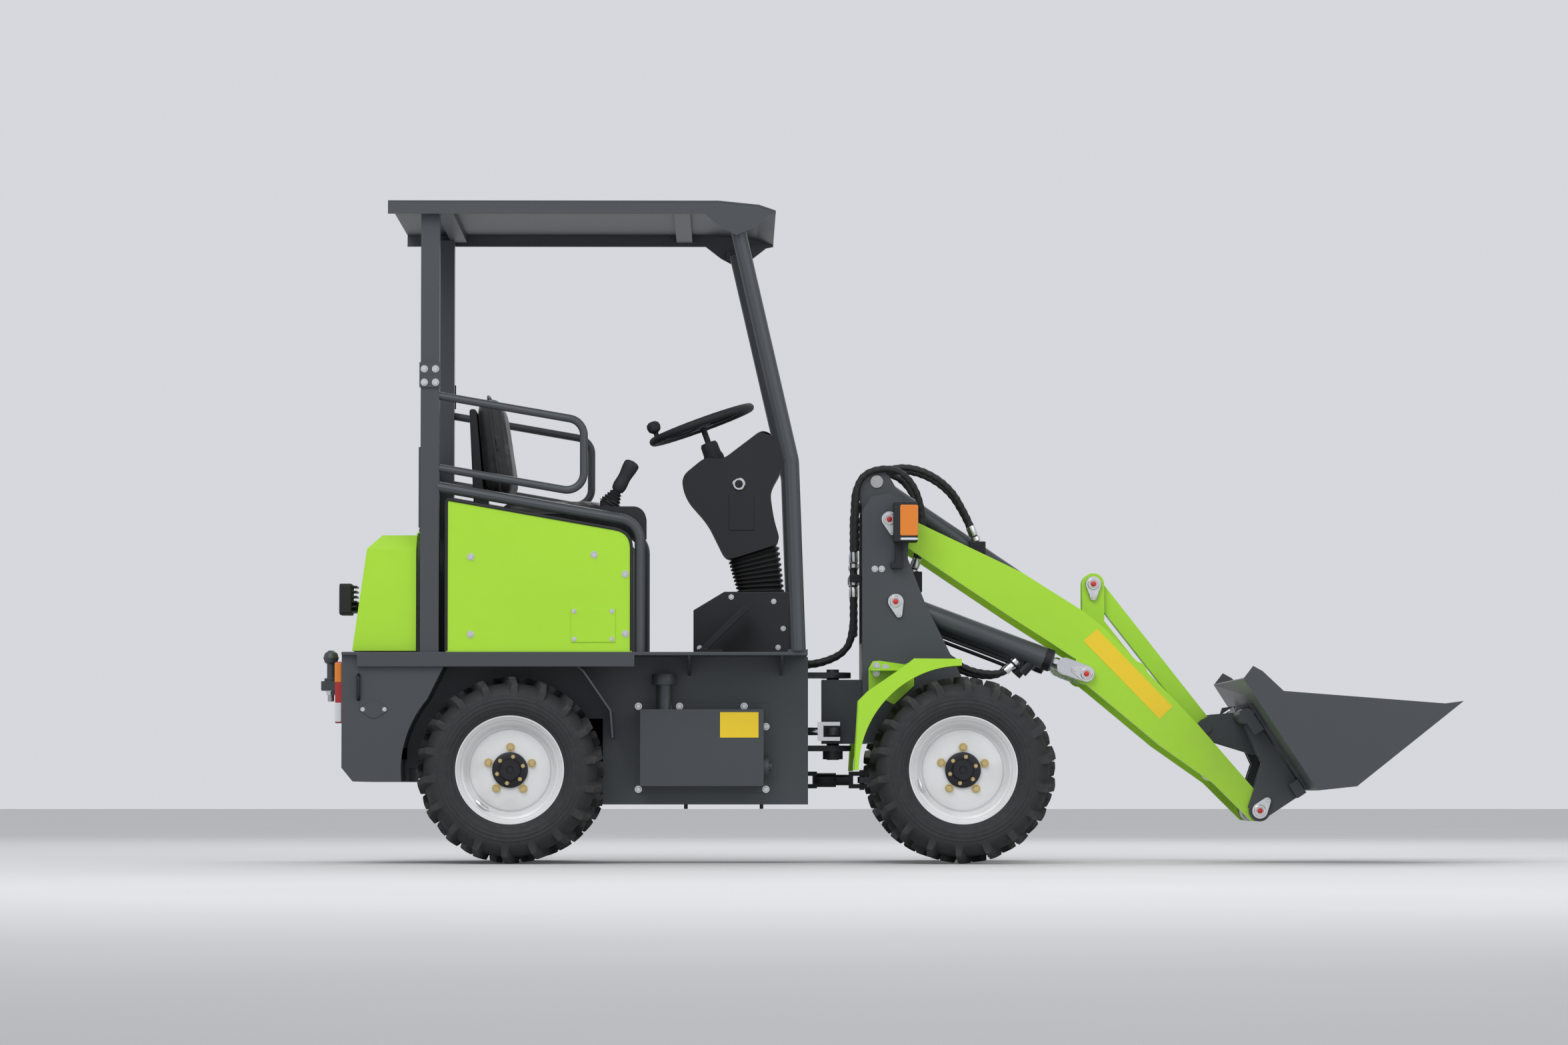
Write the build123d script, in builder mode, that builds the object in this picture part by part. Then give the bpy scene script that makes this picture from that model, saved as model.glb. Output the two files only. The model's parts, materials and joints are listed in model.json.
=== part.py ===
"""Compact articulated wheel loader with a four-post canopy and a curled bucket.

Millimetres, +X forward, +Y to the machine's left, +Z up. The origin lies on the
ground under the middle of the machine's length, in its plane of symmetry.
"""
import os
from math import atan2, cos, degrees, hypot, radians, sin, tan

from build123d import *

os.makedirs("parts", exist_ok=True)

# Wheels and axles
TYRE_RADIUS = 292.0
TYRE_WIDTH = 212.0
TREAD_RADIUS = TYRE_RADIUS - 20
TYRE_SIDES = 36
LUGS = 18
RIM_RADIUS = 166.0
RIM_WIDTH = 176.0
TRACK = 848.0
WHEELBASE = 1414.0
REAR_AXLE_X = -1175.0
FRONT_AXLE_X = REAR_AXLE_X + WHEELBASE
AXLE_Z = TYRE_RADIUS
WHEEL_Y = TRACK / 2

# Articulation between the two halves
PIVOT_X = -159.0
HINGE_BLOCK_HALF = 70.0
HINGE_BLOCK_REAR = -195.0
HINGE_BLOCK_LOW = 378.0
HINGE_BLOCK_HIGH = 582.0
HINGE_EAR = 18.0
HINGE_PIN_RADIUS = 20.0
SHAFT_Z = 262.0
SHAFT_JOINT = 93.0
CROSS_X = -330.0
STEER_Y = -150.0
STEER_Z = 416.0

# Rear chassis
FRAME_HALF = 265.0
FRAME_PLATE = 12.0
FRAME_LOW = 184.0
FRAME_FRONT = -242.0
TAIL_REAR = -1700.0
TAIL_FRONT = -1502.0
TAIL_HALF = 490.0
TAIL_LOW = 256.0
ARCH_RADIUS = 340.0
DECK_TOP = 660.0
DECK_PLATE = 10.0
DECK_HALF = 508.0
SILL_HEIGHT = 42.0
SILL_DEPTH = 14.0

# Hydraulic tank on the right side of the chassis
TANK_REAR = -771.0
TANK_FRONT = -383.0
TANK_LOW = 242.0
TANK_HIGH = 483.0
TANK_DEPTH = 105.0

# Seat platform and canopy
POST_X = -1427.0
POST_SIZE = 58.0
POST_Y = 496.0
PANEL_Y = 500.0
PANEL_THICK = 12.0
PANEL_REAR = -1376.0
PANEL_FRONT = -795.0
PANEL_SLOPE = 10.0
ROOF_REAR = -1558.0
ROOF_FRONT = -346.0
ROOF_TOP = 2071.0
ROOF_EDGE = 42.0
ROOF_SHEET = 6.0
ROOF_DROP = 37.0
ROOF_HALF = 535.0
PILLAR_RADIUS = 24.0
PILLAR_INSET = 13.0
TUBE_SIDES = 12
AXLE_SIDES = 16
RAIL_RADIUS = 17.0
LOOP_RADIUS = 12.5

# Rear hood
HOOD_REAR = -1669.0
HOOD_FRONT = -1470.0
HOOD_TOP = 1028.0
HOOD_SIDE_TOP = 983.0
HOOD_HALF = 470.0
HOOD_WALL = 5.0
HOOD_HINGE_X = HOOD_FRONT + 2
HOOD_HINGE_Z = 1034.0
HOOD_PIN_RADIUS = 5.0

# Loader linkage, side-view pins as (X, Z)
BOOM_PIVOT = (16.0, 1087.0)
LIFT_BASE = (36.0, 826.0)
LIFT_ROD_PIN = (642.0, 598.0)
TILT_BASE = (-21.0, 1212.0)
ROCKER_PIVOT = (800.0, 600.0)
ROCKER_EYE = (707.0, 717.0)
ROCKER_TOP = (675.0, 889.0)
HITCH_TOP = (1037.0, 427.0)
BUCKET_PIVOT = (1190.0, 164.0)
PIN_RADIUS = 16.0
TILT_PIN_RADIUS = 20.0
ROCKER_PIN_RADIUS = 20.0
PIN_FIT = 0.3
ARM_INNER = 175.0
ARM_PLATE = 25.0
LUG_RADIUS = 34.0

# Front frame tower
TOWER_OUTER = 228.0
TOWER_INNER = 135.0
TOWER_PLATE = 12.0
LIFT_BARREL_RADIUS = 35.0
LIFT_ROD_RADIUS = 17.5
TILT_BARREL_RADIUS = 30.0
TILT_ROD_RADIUS = 15.0

# Bucket and quick hitch
BUCKET_HALF = 545.0
BUCKET_PLATE = 8.0
HITCH_GAP = 6.0
HITCH_PLATE = 12.0
LINK_HALF = 32.0
CENTRE_GAP = 6.0


def side_plate(outline, y_low, y_high, mode=Mode.ADD):
    """Add or cut a flat plate cut to a side-view outline between two Y values."""
    with BuildSketch(Plane.XZ.offset(-y_high)) as profile:
        with BuildLine():
            Polyline(*outline, close=True)
        make_face()
    extrude(profile.sketch, amount=y_high - y_low, mode=mode)


def side_disc(centre, radius, y_low, y_high, mode=Mode.ADD):
    """Add or cut a round boss, pin or bore that runs along Y."""
    with BuildSketch(Plane.XZ.offset(-y_high)) as profile:
        with Locations(centre):
            Circle(radius)
    extrude(profile.sketch, amount=y_high - y_low, mode=mode)


def side_link(start, end, radius, y_low, y_high, mode=Mode.ADD):
    """Add or cut a straight bar with round ends between two side-view points."""
    span = hypot(end[0] - start[0], end[1] - start[1])
    middle = ((start[0] + end[0]) / 2, (start[1] + end[1]) / 2)
    turn = degrees(atan2(end[1] - start[1], end[0] - start[0]))
    with BuildSketch(Plane.XZ.offset(-y_high)) as profile:
        with Locations(Location(middle, turn)):
            SlotCenterToCenter(span, 2 * radius)
    extrude(profile.sketch, amount=y_high - y_low, mode=mode)


def box(x_range, y_range, z_range, mode=Mode.ADD):
    """Add or cut a block between two corners."""
    low = [min(r) for r in (x_range, y_range, z_range)]
    high = [max(r) for r in (x_range, y_range, z_range)]
    middle = [(a + b) / 2 for a, b in zip(low, high)]
    with Locations(Location(middle)):
        Box(*[b - a for a, b in zip(low, high)], mode=mode)


def rod(start, end, radius, mode=Mode.ADD, sides=0):
    """Add or cut a bar between two points in space, round or with flat sides."""
    axis = Vector(*end) - Vector(*start)
    with BuildSketch(Plane(origin=start, z_dir=axis)) as profile:
        if sides:
            RegularPolygon(radius, sides)
        else:
            Circle(radius)
    extrude(profile.sketch, amount=axis.length, mode=mode)


def bent_tube(points, radii, radius):
    """Add a round bar along straight runs joined by arcs."""
    with BuildLine() as path:
        FilletPolyline(*points, radius=radii)
    start = path.line @ 0
    with BuildSketch(Plane(origin=start, z_dir=path.line % 0)) as profile:
        RegularPolygon(radius, TUBE_SIDES)
    sweep(profile.sketch, path=path.line)


def along(start, end, distance):
    """Return the side-view point at a distance from start towards end."""
    span = hypot(end[0] - start[0], end[1] - start[1])
    return (
        start[0] + (end[0] - start[0]) * distance / span,
        start[1] + (end[1] - start[1]) * distance / span,
    )


def keep(builder, name):
    """Label a finished piece and write it."""
    builder.part.label = name
    export_step(builder.part, f"parts/{name}.step")


def ring_stack(sections, sides):
    """Loft flat-sided rings about the Y axis; each section is (Y, radius)."""
    rings = []
    for y, radius in sections:
        with BuildSketch(Plane.XZ.offset(-y)) as ring:
            RegularPolygon(radius, sides)
        rings.append(ring.sketch)
    loft(rings, ruled=True)


# Half of the tyre's cross-section, from the crown to the bead: Y, radius
TYRE_SECTIONS = (
    (64, TREAD_RADIUS),
    (103, TREAD_RADIUS - 36),
    (104, RIM_RADIUS + 40),
    (RIM_WIDTH / 2, RIM_RADIUS + 6),
)
# One lug of the right half seen on the tread: distance round, Y
LUG_OUTLINE = ((-30, 8), (-6, 8), (30, -104), (6, -104))
LUG_FACE = TYRE_RADIUS - 0.8

with BuildPart() as right_lug:
    with BuildSketch(Plane(origin=(0, 0, TREAD_RADIUS - 34), x_dir=(1, 0, 0), z_dir=(0, 0, 1))) as footprint:
        with BuildLine():
            Polyline(*LUG_OUTLINE, close=True)
        make_face()
    extrude(footprint.sketch, amount=LUG_FACE - TREAD_RADIUS + 34)
    # The shoulder end falls away to the sidewall
    with BuildSketch(Plane.YZ.offset(-40)) as fall:
        with BuildLine():
            Polyline(
                (-70, LUG_FACE), (-106, LUG_FACE - 26), (-106, LUG_FACE + 5), (-70, LUG_FACE + 5), close=True
            )
        make_face()
    extrude(fall.sketch, amount=80, mode=Mode.SUBTRACT)
lug_halves = ((right_lug.part, 0), (right_lug.part.mirror(Plane.XZ), 0.5))
with BuildPart() as right_tyre:
    ring_stack([(-y, r) for y, r in TYRE_SECTIONS[::-1]] + list(TYRE_SECTIONS), TYRE_SIDES)
    add([half.rotate(Axis.Y, 360 / LUGS * (k + shift)) for half, shift in lug_halves for k in range(LUGS)])
    with BuildSketch(Plane.XZ.offset(-TYRE_WIDTH / 2)) as bore:
        RegularPolygon(RIM_RADIUS + 0.2, TYRE_SIDES)
    extrude(bore.sketch, amount=TYRE_WIDTH, mode=Mode.SUBTRACT)
DISC_DISH = 30.0
DISC_THICK = 10.0
HUB_RADIUS = 56.0
with BuildPart() as right_rim:
    bead = RIM_WIDTH / 2
    with BuildSketch(Plane.XZ.offset(-bead)) as barrel:
        RegularPolygon(RIM_RADIUS, TYRE_SIDES)
        RegularPolygon(RIM_RADIUS - 16, TYRE_SIDES, mode=Mode.SUBTRACT)
    extrude(barrel.sketch, amount=RIM_WIDTH)
    with BuildSketch(Plane.XZ.offset(DISC_DISH)) as disc:
        RegularPolygon(RIM_RADIUS - 14, TYRE_SIDES)
    extrude(disc.sketch, amount=DISC_THICK)
    with BuildSketch(Plane.XZ.offset(DISC_DISH + DISC_THICK)) as hub:
        Circle(HUB_RADIUS)
    extrude(hub.sketch, amount=24)

WHEELS = (
    # name, side, axle X
    ("front_right", -1, FRONT_AXLE_X),
    ("front_left", 1, FRONT_AXLE_X),
    ("rear_right", -1, REAR_AXLE_X),
    ("rear_left", 1, REAR_AXLE_X),
)
for name, side, axle_x in WHEELS:
    for kind, made in (("tyre", right_tyre), ("rim", right_rim)):
        with BuildPart() as piece:
            with Locations((axle_x, side * WHEEL_Y, AXLE_Z)):
                add(made.part if side < 0 else made.part.mirror(Plane.XZ))
        keep(piece, f"{kind}_{name}")


def axle(axle_x):
    """Build an axle: a round centre housing, two tubes and the hub flanges."""
    end = WHEEL_Y + DISC_DISH - 0.5
    with BuildPart() as housing:
        for low, high, radius in ((-end, end, 42), (-70, 70, 85), (-312, -250, 78), (250, 312, 78)):
            rod((axle_x, low, AXLE_Z), (axle_x, high, AXLE_Z), radius, sides=AXLE_SIDES)
    return housing


keep(axle(FRONT_AXLE_X), "front_axle")
keep(axle(REAR_AXLE_X), "rear_axle")

SHAFT_PIN_RADIUS = 8.0


def shaft_tongue(centre_x, root_x):
    """Add a flat tongue with an upright pin for one end of the drive shaft."""
    box(sorted((root_x, centre_x)), (-14, 14), (SHAFT_Z - 10, SHAFT_Z + 10))
    rod((centre_x, 0, SHAFT_Z - 10), (centre_x, 0, SHAFT_Z + 10), 14)
    rod((centre_x, 0, SHAFT_Z - 32), (centre_x, 0, SHAFT_Z + 32), SHAFT_PIN_RADIUS)


def shaft_yoke(centre_x, towards):
    """Add a yoke about the upright pin, its closed end towards +X or -X."""
    ends = [centre_x - towards * 16, centre_x + towards * 42]
    box(sorted(ends), (-20, 20), (SHAFT_Z - 27, SHAFT_Z + 27))
    throat = [centre_x - towards * 16, centre_x + towards * 28]
    box(sorted(throat), (-20, 20), (SHAFT_Z - 13, SHAFT_Z + 13), Mode.SUBTRACT)
    hole = SHAFT_PIN_RADIUS + PIN_FIT
    rod((centre_x, 0, SHAFT_Z - 27), (centre_x, 0, SHAFT_Z + 27), hole, Mode.SUBTRACT)


# Rear chassis: two side plates, cross plates, the tail box and the hinge ears
AXLE_NOTCH_FRONT = REAR_AXLE_X + 285
AXLE_NOTCH_REAR = REAR_AXLE_X - 235
AXLE_NOTCH_TOP = 455.0
DECK_UNDER = DECK_TOP - DECK_PLATE
with BuildPart() as rear_frame:
    for y in (-FRAME_HALF, FRAME_HALF - FRAME_PLATE):
        side_plate(
            [
                (TAIL_FRONT, DECK_UNDER),
                (TAIL_FRONT, FRAME_LOW + 115),
                (AXLE_NOTCH_REAR, FRAME_LOW + 115),
                (AXLE_NOTCH_REAR, AXLE_NOTCH_TOP),
                (AXLE_NOTCH_FRONT, AXLE_NOTCH_TOP),
                (AXLE_NOTCH_FRONT, FRAME_LOW),
                (FRAME_FRONT, FRAME_LOW),
                (FRAME_FRONT, DECK_UNDER),
            ],
            y,
            y + FRAME_PLATE,
        )
    inner = FRAME_HALF - FRAME_PLATE
    box((TAIL_FRONT, FRAME_FRONT), (-inner, inner), (DECK_UNDER - 12, DECK_UNDER))
    box((AXLE_NOTCH_FRONT, FRAME_FRONT), (-inner, inner), (FRAME_LOW, FRAME_LOW + 10))
    box((AXLE_NOTCH_FRONT, AXLE_NOTCH_FRONT + 12), (-inner, inner), (FRAME_LOW, DECK_UNDER))
    # Front cross plate, pierced for the steering rod, and the shaft's bearing block
    box((CROSS_X, CROSS_X + 20), (-inner, inner), (HINGE_BLOCK_LOW - 60, DECK_UNDER))
    rod((CROSS_X, STEER_Y, STEER_Z), (CROSS_X + 20, STEER_Y, STEER_Z), 20, Mode.SUBTRACT)
    box((CROSS_X - 15, CROSS_X + 30), (-45, 45), (FRAME_LOW, SHAFT_Z + 48))
    shaft_tongue(PIVOT_X - SHAFT_JOINT, CROSS_X + 30)
    # Bridge between the saddles and the side plates
    for y in (-1, 1):
        box(
            (REAR_AXLE_X - 60, REAR_AXLE_X + 60),
            (y * (FRAME_HALF - 95), y * (FRAME_HALF - FRAME_PLATE)),
            (AXLE_NOTCH_TOP - 20, AXLE_NOTCH_TOP + 30),
        )
    # Axle saddles under the frame
    for y in (-1, 1):
        box(
            (REAR_AXLE_X - 60, REAR_AXLE_X + 60),
            (y * (FRAME_HALF - 95), y * (FRAME_HALF - 25)),
            (AXLE_Z + 42.2, AXLE_NOTCH_TOP),
        )
    # Tail box across the full width with its arches
    side_plate(
        [
            (TAIL_REAR, DECK_UNDER),
            (TAIL_REAR, TAIL_LOW + 43),
            (TAIL_REAR + 35, TAIL_LOW),
            (TAIL_FRONT, TAIL_LOW),
            (TAIL_FRONT, TAIL_LOW + 120),
            (REAR_AXLE_X - 190, DECK_UNDER),
        ],
        -TAIL_HALF,
        TAIL_HALF,
    )
    side_disc((REAR_AXLE_X, AXLE_Z), ARCH_RADIUS, -TAIL_HALF, -FRAME_HALF, Mode.SUBTRACT)
    side_disc((REAR_AXLE_X, AXLE_Z), ARCH_RADIUS, FRAME_HALF, TAIL_HALF, Mode.SUBTRACT)
    box(
        (TAIL_REAR + 12, TAIL_FRONT - 6),
        (-TAIL_HALF + 12, TAIL_HALF - 12),
        (TAIL_LOW + 70, DECK_UNDER),
        Mode.SUBTRACT,
    )
    # Hinge ears above and below the front block
    for z in (HINGE_BLOCK_LOW - 6 - HINGE_EAR, HINGE_BLOCK_HIGH + 6):
        box((CROSS_X + 10, PIVOT_X), (-58, 58), (z, z + HINGE_EAR))
        with BuildSketch(Plane.XY.offset(z)) as ear:
            with Locations((PIVOT_X, 0)):
                Circle(58)
        extrude(ear.sketch, amount=HINGE_EAR)
    rod(
        (PIVOT_X, 0, HINGE_BLOCK_LOW - 6 - HINGE_EAR - 28),
        (PIVOT_X, 0, HINGE_BLOCK_HIGH + 6 + HINGE_EAR + 10),
        HINGE_PIN_RADIUS,
    )
    rod(
        (PIVOT_X, 0, HINGE_BLOCK_LOW - 6 - HINGE_EAR - 26),
        (PIVOT_X, 0, HINGE_BLOCK_LOW - 6 - HINGE_EAR),
        32,
    )
keep(rear_frame, "rear_frame")

# Deck plate with side sills and folded mudguard sheets
DECK_FRONT = FRAME_FRONT - 4
with BuildPart() as deck:
    box((TAIL_REAR, DECK_FRONT), (-DECK_HALF, DECK_HALF), (DECK_UNDER, DECK_TOP))
    for y in (-1, 1):
        box(
            (TAIL_REAR + 48, PANEL_FRONT + 8),
            (y * (DECK_HALF - SILL_DEPTH), y * DECK_HALF),
            (DECK_TOP - 4 - SILL_HEIGHT, DECK_UNDER),
        )
        # Mudguard sheet ahead of the rear wheel, folded twice
        low = FRAME_HALF if y > 0 else -DECK_HALF + 20
        side_plate(
            [
                (-1010, DECK_UNDER),
                (-1004, DECK_UNDER),
                (-944, 603),
                (-858, 478),
                (-852, 392),
                (-858, 392),
                (-865, 476),
                (-949, 598),
            ],
            low,
            low + DECK_HALF - 20 - FRAME_HALF,
        )
        # Gussets under the overhang of the foot deck
        for x in (-620, -330):
            with BuildSketch(Plane.YZ.offset(x)) as gusset:
                with BuildLine():
                    Polyline(
                        (y * FRAME_HALF, DECK_UNDER),
                        (y * FRAME_HALF, DECK_UNDER - 60),
                        (y * (DECK_HALF - 60), DECK_UNDER - 12),
                        (y * (DECK_HALF - 60), DECK_UNDER),
                        close=True,
                    )
                make_face()
            extrude(gusset.sketch, amount=8)
keep(deck, "deck")

# Hydraulic tank with its neck, cap and outlet
with BuildPart() as hydraulic_tank:
    face = -FRAME_HALF
    box((TANK_REAR - 14, TANK_FRONT + 16), (face - 6, face), (TANK_LOW - 20, TANK_HIGH + 20))
    box((TANK_REAR, TANK_FRONT), (face - TANK_DEPTH, face - 6), (TANK_LOW, TANK_HIGH))
    neck = (TANK_REAR + 75, face - TANK_DEPTH / 2)
    rod((*neck, TANK_HIGH), (*neck, TANK_HIGH + 78), 24)
    rod((*neck, TANK_HIGH + 78), (*neck, TANK_HIGH + 112), 39)
    port = (face - TANK_DEPTH / 2, TANK_LOW + 62)
    rod((TANK_FRONT, *port), (TANK_FRONT + 16, *port), 34)
    rod((TANK_FRONT + 16, *port), (TANK_FRONT + 26, *port), 14)
keep(hydraulic_tank, "hydraulic_tank")

# Heavy masses: battery under the seat and drive motor over the rear axle
with BuildPart() as battery_pack:
    box((PANEL_REAR + 40, PANEL_FRONT - 70), (-400, 400), (DECK_TOP, DECK_TOP + 250))
keep(battery_pack, "battery_pack")
with BuildPart() as drive_motor:
    rod((REAR_AXLE_X + 95, 0, AXLE_Z + 60), (AXLE_NOTCH_FRONT, 0, AXLE_Z + 60), 105)
keep(drive_motor, "drive_motor")

# Green side panels
PANEL_HIGH = 1139.0
PANEL_CORNER = 58.0
panel_drop = (PANEL_FRONT - PANEL_REAR) * tan(radians(PANEL_SLOPE))
with BuildPart() as side_panels:
    for y in (-PANEL_Y, PANEL_Y - PANEL_THICK):
        with BuildSketch(Plane.XZ.offset(-(y + PANEL_THICK))) as outline:
            with BuildLine():
                FilletPolyline(
                    (PANEL_REAR, DECK_TOP),
                    (PANEL_REAR, PANEL_HIGH),
                    (PANEL_FRONT, PANEL_HIGH - panel_drop),
                    (PANEL_FRONT, DECK_TOP),
                    radius=[6, PANEL_CORNER],
                )
                Line((PANEL_FRONT, DECK_TOP), (PANEL_REAR, DECK_TOP))
            make_face()
        extrude(outline.sketch, amount=PANEL_THICK)
keep(side_panels, "side_panels")

# Black seat platform between the panels: front wall, top and back
PLATFORM_TOP = 1020.0
PLATFORM_WALL = 8.0
platform_half = PANEL_Y - PANEL_THICK
with BuildPart() as seat_platform:
    box((PANEL_REAR, PANEL_FRONT), (-platform_half, platform_half), (DECK_TOP, PLATFORM_TOP))
    box(
        (PANEL_REAR + PLATFORM_WALL, PANEL_FRONT - PLATFORM_WALL),
        (-platform_half + PLATFORM_WALL, platform_half - PLATFORM_WALL),
        (DECK_TOP, PLATFORM_TOP - PLATFORM_WALL),
        Mode.SUBTRACT,
    )
    fillet(seat_platform.edges().filter_by(Axis.Y).group_by(Axis.Z)[-1].sort_by(Axis.X)[-1], 40)
keep(seat_platform, "seat_platform")

# Seat: base, cushion and back
SEAT_HALF = 225.0
with BuildPart() as seat_base:
    box((-1250, -870), (-190, 190), (PLATFORM_TOP, PLATFORM_TOP + 45))
    side_plate(
        [(-1300, 1065), (-1262, 1065), (-1296, 1440), (-1318, 1440)],
        -SEAT_HALF + 20,
        SEAT_HALF - 20,
    )
    box((-1300, -1240), (-190, 190), (PLATFORM_TOP + 20, PLATFORM_TOP + 60))
keep(seat_base, "seat_base")
with BuildPart() as seat_cushion:
    box((-1238, -850), (-SEAT_HALF, SEAT_HALF), (PLATFORM_TOP + 45.3, 1150))
    fillet(seat_cushion.edges().filter_by(Axis.Z), 40)
keep(seat_cushion, "seat_cushion")
with BuildPart() as seat_back:
    side_plate(
        [(-1269.8, 1155), (-1160, 1155), (-1222, 1492), (-1300, 1492), (-1295.6, 1440)],
        -SEAT_HALF,
        SEAT_HALF,
    )
keep(seat_back, "seat_back")

# Joystick pod beside the seat
with BuildPart() as control_pod:
    box((-960, -752), (-440, -300), (PLATFORM_TOP, 1118))
    fillet(control_pod.edges().filter_by(Axis.Y).group_by(Axis.Z)[-1], 40)
    rod((-868, -370, 1110), (-868, -370, 1140), 30)
    rod((-868, -370, 1130), (-806, -370, 1240), 10)
    rod((-820, -370, 1215), (-798, -370, 1256), 18)
keep(control_pod, "control_pod")

# Rear posts, side rails and guard loops
with BuildPart() as rear_posts:
    for y in (-1, 1):
        box(
            (POST_X - POST_SIZE / 2, POST_X + POST_SIZE / 2),
            (y * (POST_Y - POST_SIZE), y * POST_Y),
            (DECK_TOP, 1526),
        )
        box((POST_X - 33, POST_X + 33), (y * POST_Y, y * (POST_Y + 6)), (1487, 1526))
        post_face = POST_X + POST_SIZE / 2
        rail_y = y * (POST_Y - 14)
        rail_high = 1177.0
        bent_tube(
            [
                (post_face - 5, rail_y, rail_high),
                (-770, rail_y, rail_high - (-770 - post_face) * tan(radians(PANEL_SLOPE))),
                (-770, rail_y, DECK_TOP),
            ],
            70,
            RAIL_RADIUS,
        )
        loop_drop = (-946 - post_face) * tan(radians(PANEL_SLOPE))
        bent_tube(
            [
                (post_face - 5, rail_y, 1463),
                (-946, rail_y, 1463 - loop_drop),
                (-946, rail_y, 1237 - loop_drop),
                (post_face - 5, rail_y, 1237),
            ],
            53,
            LOOP_RADIUS,
        )
keep(rear_posts, "rear_posts")
with BuildPart() as rear_panel:
    box(
        (POST_X - POST_SIZE / 2 - 6, POST_X - POST_SIZE / 2),
        (-POST_Y + 8, POST_Y - 8),
        (HOOD_TOP + 22, 1301),
    )
    # Brackets and pins of the hood's two hinges
    for y in (-260, 260):
        box((HOOD_HINGE_X - 4, POST_X - POST_SIZE / 2), (y - 12, y + 12), (HOOD_HINGE_Z - 3, HOOD_TOP + 28))
        rod((HOOD_HINGE_X, y - 58, HOOD_HINGE_Z), (HOOD_HINGE_X, y + 58, HOOD_HINGE_Z), HOOD_PIN_RADIUS)
keep(rear_panel, "rear_panel")

# Canopy: upper posts, front pillars, side beams and cross straps
BEAM_THICK = 8.0
PILLAR_Y = DECK_HALF - PILLAR_INSET
with BuildPart() as canopy_frame:
    for y in (-1, 1):
        box(
            (POST_X - POST_SIZE / 2, POST_X + POST_SIZE / 2),
            (y * (POST_Y - POST_SIZE), y * POST_Y),
            (1526, ROOF_TOP - ROOF_EDGE),
        )
        box((POST_X - 33, POST_X + 33), (y * POST_Y, y * (POST_Y + 6)), (1526, 1566))
        bent_tube(
            [
                (-276, y * PILLAR_Y, DECK_TOP + 4),
                (-297, y * PILLAR_Y, 1258),
                (-468, y * PILLAR_Y, ROOF_TOP - 71),
            ],
            120,
            PILLAR_RADIUS,
        )
        box((-308, -246), (y * (PILLAR_Y - 32), y * (DECK_HALF - 2)), (DECK_TOP, DECK_TOP + 8))
        beam_y = y * ROOF_HALF
        side_plate(
            [
                (ROOF_REAR, ROOF_TOP - ROOF_SHEET),
                (ROOF_REAR, ROOF_TOP - ROOF_EDGE),
                (-570, ROOF_TOP - ROOF_EDGE),
                (-520, ROOF_TOP - 81),
                (-468, ROOF_TOP - 109),
                (-420, ROOF_TOP - 86),
                (-370, ROOF_TOP - 47),
                (ROOF_FRONT, ROOF_TOP - ROOF_EDGE),
                (ROOF_FRONT, ROOF_TOP - ROOF_DROP),
                (-400, ROOF_TOP - 19),
                (-527, ROOF_TOP - ROOF_SHEET),
            ],
            min(beam_y, beam_y - y * BEAM_THICK),
            max(beam_y, beam_y - y * BEAM_THICK),
        )
        box((-500, -440), (y * (PILLAR_Y + 10), y * (ROOF_HALF - 4)), (ROOF_TOP - 86, ROOF_TOP - 61))
        box(
            (POST_X - 29, POST_X + 29),
            (y * (POST_Y - POST_SIZE), y * (ROOF_HALF - 4)),
            (ROOF_TOP - ROOF_EDGE, ROOF_TOP - 30),
        )
    for x in (-1386, -640):
        box((x - 26, x + 26), (-ROOF_HALF + 4, ROOF_HALF - 4), (ROOF_TOP - 30, ROOF_TOP - ROOF_SHEET))
keep(canopy_frame, "canopy_frame")
with BuildPart() as roof_panel:
    side_plate(
        [
            (ROOF_REAR, ROOF_TOP),
            (ROOF_REAR, ROOF_TOP - ROOF_SHEET),
            (-527, ROOF_TOP - ROOF_SHEET),
            (-400, ROOF_TOP - 19),
            (ROOF_FRONT, ROOF_TOP - ROOF_DROP),
            (ROOF_FRONT, ROOF_TOP - ROOF_DROP + ROOF_SHEET),
            (-398, ROOF_TOP - 13),
            (-526, ROOF_TOP),
        ],
        -ROOF_HALF,
        ROOF_HALF,
    )
keep(roof_panel, "roof_panel")

# Steering console, bellows, pedal box and pedals
CONSOLE_HALF = 105.0
WHEEL_CENTRE = (-580.0, 1403.0)
WHEEL_TILT = 20.0
COLUMN_RADIUS = 9.0


def column_point(below):
    """Return the point on the steering column at a distance below the wheel's centre."""
    turn = radians(WHEEL_TILT)
    return (WHEEL_CENTRE[0] + below * sin(turn), 0, WHEEL_CENTRE[1] - below * cos(turn))


with BuildPart() as steering_console:
    side_plate(
        [
            (-500, 962),
            (-325, 1018),
            (-348, 1090),
            (-362, 1185),
            (-318, 1262),
            (-342, 1345),
            (-378, 1388),
            (-520, 1280),
            (-560, 1300),
            (-648, 1228),
            (-630, 1164),
            (-560, 1084),
        ],
        -CONSOLE_HALF,
        CONSOLE_HALF,
    )
    rod(column_point(150), column_point(62), 28)
    rod(column_point(62), column_point(0), COLUMN_RADIUS)
keep(steering_console, "steering_console")
PEDAL_BOX_TOP = 859.0
with BuildPart() as console_bellows:
    with BuildSketch(Plane.XY.offset(PEDAL_BOX_TOP)) as foot:
        with Locations((-389, 0)):
            RectangleRounded(150, 170, 30)
    with BuildSketch(Plane(origin=(-413, 0, 989.3), x_dir=(175, 0, 56), z_dir=(-56, 0, 175))) as neck_end:
        RectangleRounded(170, 190, 30)
    loft([foot.sketch, neck_end.sketch], ruled=True)
keep(console_bellows, "console_bellows")
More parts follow.
